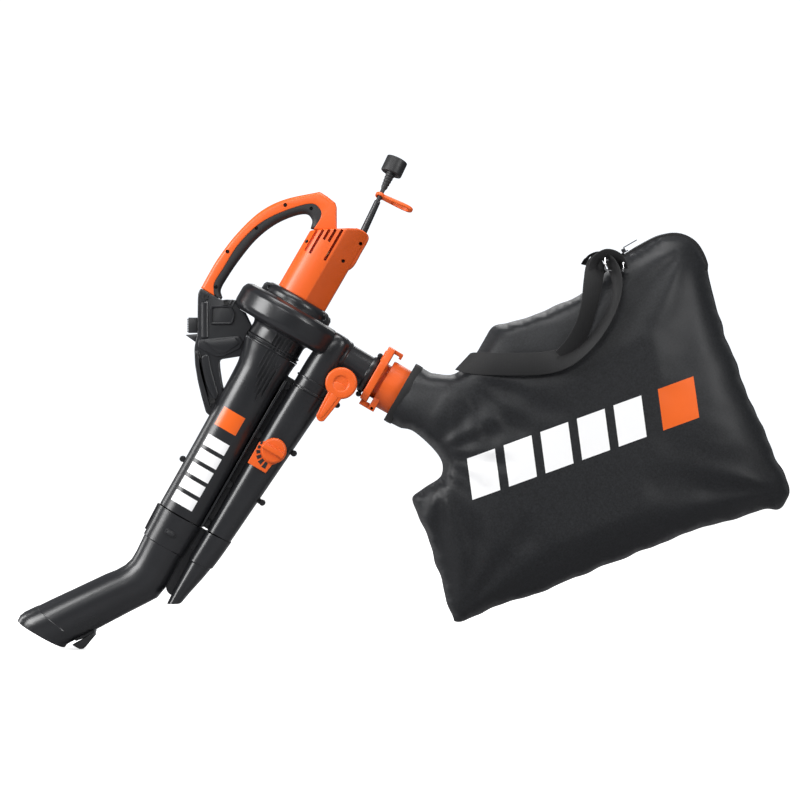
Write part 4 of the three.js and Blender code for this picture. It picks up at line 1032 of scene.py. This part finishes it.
def inflate(outline, spacing=7.0, rounds=4200):
    """A soap film blown up over the bag's outline: half the square of its height, on a grid."""
    low, high = outline.min(0) - 3 * spacing, outline.max(0) + 3 * spacing
    xs = np.arange(low[0], high[0], spacing)
    zs = np.arange(low[1], high[1], spacing)
    gx, gz = np.meshgrid(xs, zs, indexing="ij")
    fixed = np.clip(HEM_RADIUS ** 2 - (gz - HEM_CENTRE) ** 2, 0, None) / 2
    mouth = (gx <= HEM_X + 1.5 * spacing) & (np.abs(gz - HEM_CENTRE) < HEM_RADIUS)
    inside = within(outline, gx, gz)
    phi = np.where(mouth, fixed, np.where(inside, 400.0, 0.0))
    free = inside & ~mouth
    for _ in range(rounds):
        around = (np.roll(phi, 1, 0) + np.roll(phi, -1, 0) + np.roll(phi, 1, 1) + np.roll(phi, -1, 1)) / 4
        new = around + spacing ** 2 / 4
        phi = np.where(free, phi + (new - phi), phi)
    return xs, zs, phi


def level(rise):
    """Heights above the neck's are levelled off towards the full depth."""
    over = FULLNESS - NECK
    return np.where(rise < NECK, rise, NECK + over * (1 - np.exp(-(rise - NECK) / over)))


def sample(xs, zs, phi, points):
    fx = np.clip((points[:, 0] - xs[0]) / (xs[1] - xs[0]), 0, len(xs) - 1.001)
    fz = np.clip((points[:, 1] - zs[0]) / (zs[1] - zs[0]), 0, len(zs) - 1.001)
    i, j = fx.astype(int), fz.astype(int)
    u, v = fx - i, fz - j
    return (phi[i, j] * (1 - u) * (1 - v) + phi[i + 1, j] * u * (1 - v) + phi[i, j + 1] * (1 - u) * v
            + phi[i + 1, j + 1] * u * v)


def wavy(points):
    """The sewn edge pulls in and out a little where the thread is tight."""
    way = unit(np.gradient(points, axis=0))
    run = np.cumsum(np.r_[0, np.linalg.norm(np.diff(points, axis=0), axis=1)])
    fade = np.clip((run - 60) / 80, 0, 1) * np.clip((run[-1] - 90 - run) / 60, 0, 1)
    zip_part = np.clip((np.hypot(points[:, 0] - 510, points[:, 1] - 400) - 100) / 60, 0, 1)
    wave = 1.5 * np.sin(run / 14.0 + 1.7 * np.sin(run / 53.0)) + 0.7 * np.sin(run / 6.1)
    return points + columns(way[:, 1], -way[:, 0]) * (wave * fade * zip_part)[:, None]


def bag_cloth():
    """Two panels filled from between, one skin along the sewn edge and open at the hem."""
    raw = wavy(smooth(OUTLINE, 300))
    top, low = np.array([HEM_X, HEM_TOP]), np.array([HEM_X, HEM_LOW])
    start = [top + (raw[0] - top) * t for t in (0.0, 0.35, 0.7)]
    end = [raw[-1] + (low - raw[-1]) * t for t in (0.35, 0.7, 1.0)]
    edge = np.concatenate([start, raw, end])
    hem = [np.array([HEM_X, z]) for z in np.linspace(HEM_LOW, HEM_TOP, 16)[1:-1]]
    outline = np.concatenate([edge, hem])
    n = len(outline)
    xs, zs, phi = inflate(outline)
    spacing, seam_gap = 9.0, 3.2
    grid = np.array([(x, z) for k, x in enumerate(np.arange(HEM_X + 7, 890, spacing))
                     for z in np.arange(-330, 440, spacing) + (spacing / 2 if k % 2 else 0)])
    distance = np.full(len(grid), 1e9)
    for a, b in zip(outline, np.roll(outline, -1, axis=0)):
        ab = b - a
        t = np.clip(((grid - a) @ ab) / max(ab @ ab, 1e-9), 0, 1)
        distance = np.minimum(distance, np.linalg.norm(grid - (a + t[:, None] * ab), axis=1))
    inner = grid[within(outline, grid[:, 0], grid[:, 1]) & (distance > seam_gap)]
    coords = [Vector(p) for p in np.concatenate([outline, inner])]
    got = delaunay_2d_cdt(coords, [], [list(range(n))], 1, 1e-4)
    flat = np.array([tuple(v) for v in got[0]])
    tris = [tuple(t) for t in got[2]]
    source = np.array([o[0] if len(o) else -1 for o in got[3]])
    count = len(flat)
    rise = np.sqrt(np.clip(2 * sample(xs, zs, phi, flat), 0, None))
    far = np.clip((flat[:, 0] - 285) / 170, 0, 1)
    far = far * far * (3 - 2 * far)
    round_off = FULLNESS * np.sin(np.pi / 2 * np.clip(rise / max(rise.max() * 1.02, 1), 0, 1)) ** 0.9
    half = level(rise) * (1 - far) + round_off * far
    on_edge = (source >= 0) & (source < len(edge))
    on_hem = (source >= len(edge)) & (source < n)
    half = np.where(on_hem, np.sqrt(np.clip(HEM_RADIUS ** 2 - (flat[:, 1] - HEM_CENTRE) ** 2, 0, None)), half)
    half = np.where(on_edge, 0.0, half)
    front, back = columns(flat[:, 0], -half, flat[:, 1]), columns(flat[:, 0], half, flat[:, 1])
    index = np.arange(count) + count
    index[on_edge] = np.arange(count)[on_edge]
    verts = np.concatenate([front, back])
    faces = tris + [tuple(int(index[i]) for i in reversed(t)) for t in tris]
    verts = crease(verts)
    mesh = bpy.data.meshes.new("bag_cloth")
    mesh.from_pydata([tuple(p) for p in place(verts)], [], faces)
    bm = bmesh.new()
    bm.from_mesh(mesh)
    sharp = bm.edges.layers.float.get("crease_edge") or bm.edges.layers.float.new("crease_edge")
    bm.verts.ensure_lookup_table()
    for edge_ in bm.edges:
        if all(v.index < count and on_edge[v.index] for v in edge_.verts):
            edge_[sharp] = 1.0
    bmesh.ops.delete(bm, geom=[v for v in bm.verts if not v.link_faces], context="VERTS")
    bmesh.ops.recalc_face_normals(bm, faces=bm.faces)
    bm.to_mesh(mesh)
    bm.free()
    obj = linked("bag_cloth", mesh)
    mesh.materials.append(bag_look)
    mesh.shade_smooth()
    sub = obj.modifiers.new("fine", "SUBSURF")
    sub.levels = sub.render_levels = 1
    thick = obj.modifiers.new("cloth_thickness", "SOLIDIFY")
    thick.thickness = 0.0012
    thick.offset = -1
    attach(obj, "bag")
    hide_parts("bag_shell")


def crease(verts):
    """Folds: fans out of the neck, broad slack waves across the body, puckers along the seam."""
    out = verts.copy()
    x, y, z = verts[:, 0], verts[:, 1], verts[:, 2]
    side = np.where(y < 0, -1.0, 1.0)
    free = np.clip(np.abs(y) / 30.0, 0, 1)
    fans = [((296, 46), [(-84, 4, 150), (-66, 7, 210), (-47, 8, 280), (-27, 7, 330), (-6, 6, 280),
                         (18, 5, 190)]),
            ((322, -100), [(-12, 6, 200), (10, 7, 260), (34, 6, 260), (60, 5, 200)]),
            ((352, -118), [(-104, 7, 130), (-74, 9, 210), (-46, 8, 240), (-20, 6, 200)]),
            ((520, 425), [(-122, 6, 300), (-84, 9, 380), (-54, 6, 260)]),
            ((872, 150), [(-165, 5, 240), (-140, 5, 260)]),
            ((505, -310), [(95, 5, 240), (70, 6, 260), (118, 5, 200)])]
    push = np.zeros(len(verts))
    for (cx, cz), folds in fans:
        dx, dz = x - cx, z - cz
        r = np.hypot(dx, dz) + 1e-6
        a = np.degrees(np.arctan2(dz, dx))
        for angle, height, reach in folds:
            off = (a - angle + 180) % 360 - 180
            width = (5.5 if cz < 300 else 11.0) + 420 / (r + 45)
            shape = np.exp(-(off / width) ** 2) - 0.55 * np.exp(-((off - 1.9 * width) / width) ** 2)
            push += height * shape * np.clip(r / 45, 0, 1) * np.exp(-(r / reach) ** 2)
    for i in range(len(verts)):
        p = Vector((x[i] * 0.0042 + 3 * (side[i] > 0), z[i] * 0.0062, side[i]))
        push[i] += 7.0 * noise.noise(p) + 2.4 * noise.noise(p * 2.7 + Vector((7, 1, 3)))
        along = Vector((x[i] * 0.016 + z[i] * 0.005, z[i] * 0.02 - x[i] * 0.006, side[i] * 2))
        push[i] += 1.1 * noise.noise(along * 1.6)
    # Puckers run in from the sewn edge along the bottom.
    low = np.exp(-((np.abs(y) - 16) / 22) ** 2) * np.clip((200 - z) / 300, 0, 1)
    run = x * 0.70 + z * 0.71
    push += low * 1.6 * np.sin(run / 9.0 + 2.2 * np.sin(run / 41.0))
    out[:, 1] += side * push * free
    out[:, 1] = np.clip(out[:, 1], -MOST_DEPTH, MOST_DEPTH)
    return out


def bag_hem():
    """The webbing band that the bag's mouth is sewn to, a little out of round."""
    x0, x1, radius, ripple, n = 226, 240, 55.2, 0.25, 120
    angles = np.arange(n) * 2 * math.pi / n
    profile = arc_profile([(radius - 2.4, x0), (radius, x0), (radius + 0.5, (x0 + x1) / 2), (radius, x1),
                           (radius - 2.4, x1)], 0.9, 3)
    wobble = ripple * (np.sin(angles * 7) + 0.6 * np.sin(angles * 13 + 1))
    rings = [columns(x, (r + wobble) * np.cos(angles), HEM_CENTRE + (r + wobble) * np.sin(angles))
             for r, x in profile]
    piece("bag_hem", [loft(rings, closed=True)], web_look, "bag", ("neck_band",), angle=40)


def ribbon(name, centre, across, width, thick, stands_for=(), samples=80, shear=0.0):
    """A flat strap. centre and across, its path and the way its width lies, are in upright directions."""
    c = smooth([upright(*p) for p in centre], samples)
    a = smooth([upright(*p) for p in across], samples)
    way = unit(np.gradient(c, axis=0))
    raw = unit(a)
    a = unit(a - way * np.sum(a * way, axis=1, keepdims=True))
    sheared = np.clip(1 - np.arange(len(a)) / (0.10 * len(a)), 0, 1)[:, None] * shear
    a = a * (1 - sheared) + raw / np.maximum(np.sum(raw * a, axis=1, keepdims=True), 0.5) * sheared
    up = np.cross(way, a)
    hw, ht = width / 2, thick / 2
    section = [(-hw + ht, -ht), (hw - ht, -ht), (hw, -ht * 0.4), (hw, ht * 0.4), (hw - ht, ht),
               (-hw + ht, ht),
               (-hw, ht * 0.4), (-hw, -ht * 0.4)]
    rings = [np.array([p + s * m + u * k for m, k in section]) for p, s, u in zip(c, a, up)]
    piece(name, [loft(rings)], web_look, "bag", stands_for, angle=60)


def strap():
    centre = [(286, -53, -90), (302, -64, -93), (334, -80, -94.5), (376, -88, -95), (422, -88, -93),
              (460, -87, -82), (496, -84, -56), (524, -82, -20), (540, -79, 16), (543, -72, 48),
              (534, -58, 73), (518, -42, 86), (500, -30, 88), (490, -27, 74)]
    across = [(0.75, 0.3, 0.8), (0.3, 0.2, 1), (0.05, 0, 1), (0, 0, 1), (-0.1, 0.1, 1), (-0.42, 0.5, 0.8),
              (-0.6, 0.9, 0.4), (-0.5, 1.0, 0.15), (-0.42, 1.0, 0), (-0.4, 1.0, -0.2), (-0.3, 1, -0.3),
              (0, 1, -0.2), (0.3, 1, 0.2), (0.4, 1, 0.2)]
    ribbon("strap_loop", centre, across, 38, 2.0, ("shoulder_strap",), 140, 1.0)
    centre = [(452, -84, -84), (470, -88, -62), (486, -90, -30), (496, -88, 5), (502, -80, 40),
              (508, -66, 66), (520, -52, 78)]
    across = [(0.9, 0.4, -0.5), (0.85, 0.5, -0.3), (0.8, 0.6, -0.1), (0.8, 0.6, 0), (0.9, 0.5, 0),
              (0.9, 0.5, -0.1), (0.8, 0.7, -0.3)]
    ribbon("strap_tail", centre, across, 36, 2.0, (), 60)
    centre = [(513, -66, 42), (504, -69, 60), (507, -70, 78), (525, -70, 90), (545, -66, 84), (555, -58, 66)]
    across = [(1, 0.6, 0.1), (1, 0.7, 0), (0.8, 0.8, -0.6), (0.1, 0.8, -1), (-0.5, 0.8, -0.8), (-1, 0.8, 0)]
    ribbon("strap_fold", centre, across, 20, 2.4, (), 48)
    # Slide: two bright uprights show, and the rails between them run behind the folded webbing.
    corners = [upright(*p) for p in ((523, -80, 82), (523, -80, 64), (524, -58, 64), (552, -54, 61),
                                     (553.5, -72, 61), (553.5, -72, 75), (552, -54, 75), (524, -58, 82))]
    parts = []
    for p, q in zip(corners, corners[1:] + corners[:1]):
        long = np.linalg.norm(q - p)
        bar = arc_profile([(0.01, -1.2), (1.5, -1.2), (1.5, long + 1.2), (0.01, long + 1.2)], 0.7, 3)
        parts.append(along_axis(p, q - p, bar, 14))
    piece("strap_slide", parts, bright, "bag", ("strap_buckle",))


def tapered(n, reach, least):
    """A size for each of n stations: one in the middle, less over the reach stations next to either end."""
    steps = np.arange(n)
    return np.clip(np.minimum(steps, steps[::-1]) / reach, least, 1)


ZIP_LINE = [(431, 340), (443, 362), (456, 386), (476, 416), (503, 436), (534, 438), (563, 421.5), (584, 398)]
ZIP_START = np.array([431.0, 0, 337.0])


def zip_box(out0, out1, y0, y1, a0, a1, r=0.5):
    """A block of the slider or pull, from how far out and how far along the zip it lies."""
    slope = math.pi / 6
    c, s = math.cos(slope), math.sin(slope)
    v, f = slab(-out1, -out0, y0, y1, a0, a1, r, 2)
    return columns(v[:, 0] * c + v[:, 2] * s, v[:, 1], -v[:, 0] * s + v[:, 2] * c) + ZIP_START, f


def zip_parts():
    edge = smooth(ZIP_LINE, 90)
    way = unit(np.gradient(edge, axis=0))
    out = columns(-way[:, 1], way[:, 0])
    thick = 5.6 * tapered(len(edge), 9.0, 0.05)[:, None]
    a, b = edge + out * -3.4, edge + out * (-3.4 + thick)
    strips = []
    for y0, y1 in ((-9, -2.2), (2.2, 9)):
        strips.append(loft([np.array([[p[0], y0, p[1]], [p[0], y1, p[1]], [q[0], y1, q[1]], [q[0], y0, q[1]]])
                            for p, q in zip(a, b)]))
    piece("zip_tapes", strips, web_look, "bag", ("zipper_tape",), angle=40)
    teeth = []
    fine = smooth(edge[::6], 150)
    way = unit(np.gradient(fine, axis=0))
    out = columns(-way[:, 1], way[:, 0])
    for i, (p, t, m) in enumerate(zip(fine[4:128], way[4:128], out[4:128])):
        y0, y1 = (-2.4, 0.8) if i % 2 else (-0.8, 2.4)
        c = p + m * 2.4
        flat = np.array([c - t * 0.45 - m * 0.9, c + t * 0.45 - m * 0.9, c + t * 0.45 + m * 0.9,
                         c - t * 0.45 + m * 0.9])
        teeth.append(loft([columns(flat[:, 0], y, flat[:, 1]) for y in (y0, y1)]))
    piece("zip_teeth", teeth, recess, "bag", (), angle=20)
    piece("zip_slider", [zip_box(6.6, 8.4, -4.6, 4.6, 22, 34), zip_box(2.6, 4.2, -4.6, 4.6, 22, 34),
                         zip_box(3.6, 8, -1.2, 1.2, 22, 26), zip_box(8, 14.2, -1.2, 1.2, 24, 31, 0.4)],
          zip_metal,
          "zip", ("zipper_slider",))
    piece("zip_pull", [zip_box(14.3, 16.0, -3.2, 3.2, 29.8, 56, 0.6),
                       zip_box(11.6, 15.6, -1.6, 1.6, 29.4, 33)],
          zip_metal, "zip_tab", ("zipper_pull",), [zip_box(10, 20, -1.5, 1.5, 40, 54, 0.3)])


def piping():
    """A bound edge over the seam, from the zip's corner along the upper side and round the far corner."""
    edge = wavy(smooth(OUTLINE, 300))[60:]
    edge = edge[:int(len(edge) * 0.42)]
    centre = columns(edge[:, 0], 0, edge[:, 1])
    way = unit(np.gradient(centre, axis=0))
    out = columns(-way[:, 2], 0, way[:, 0])
    turns = [2 * math.pi * k / 10 for k in range(10)]
    rings = []
    for p, m, f in zip(centre, out, tapered(len(centre), 14.0, 0.15)):
        rings.append(np.array([p + m * (f * 1.5 * math.cos(a) - 1.3 + 0.8 * f)
                               + np.array([0, 2.2 * f * math.sin(a), 0]) for a in turns]))
    piece("seam_binding", [loft(rings)], web_look, "bag", (), angle=60)


for build in (handle, motor_cover, fan_case, diverter_case, ducts, lower_handle, switch_button, nozzle, lever,
              air_knob, cord_and_plug, hook, collar, bag_cloth, bag_hem, strap, zip_parts, piping):
    build()

# ---------------------------------------------------------------- pieces that stay as they are
KEPT = {
    "steel": steel, "cast_aluminium": cast, "copper_alloy": copper, "orange_plastic": orange,
    "black_plastic": black, "soft_grip": grip_look, "cord_rubber": rubber, "bag_fabric": bag_look,
    "webbing": web_look,
}
slot_of = {entry["node"]: entry["material_slot"] for entry in frame["record"]["subparts"]}
for name, obj in frame["nodes"].items():
    look = KEPT[slot_of[name]]
    if not obj.data.materials:
        obj.data.materials.append(look)
    for slot in obj.material_slots:
        slot.material = look
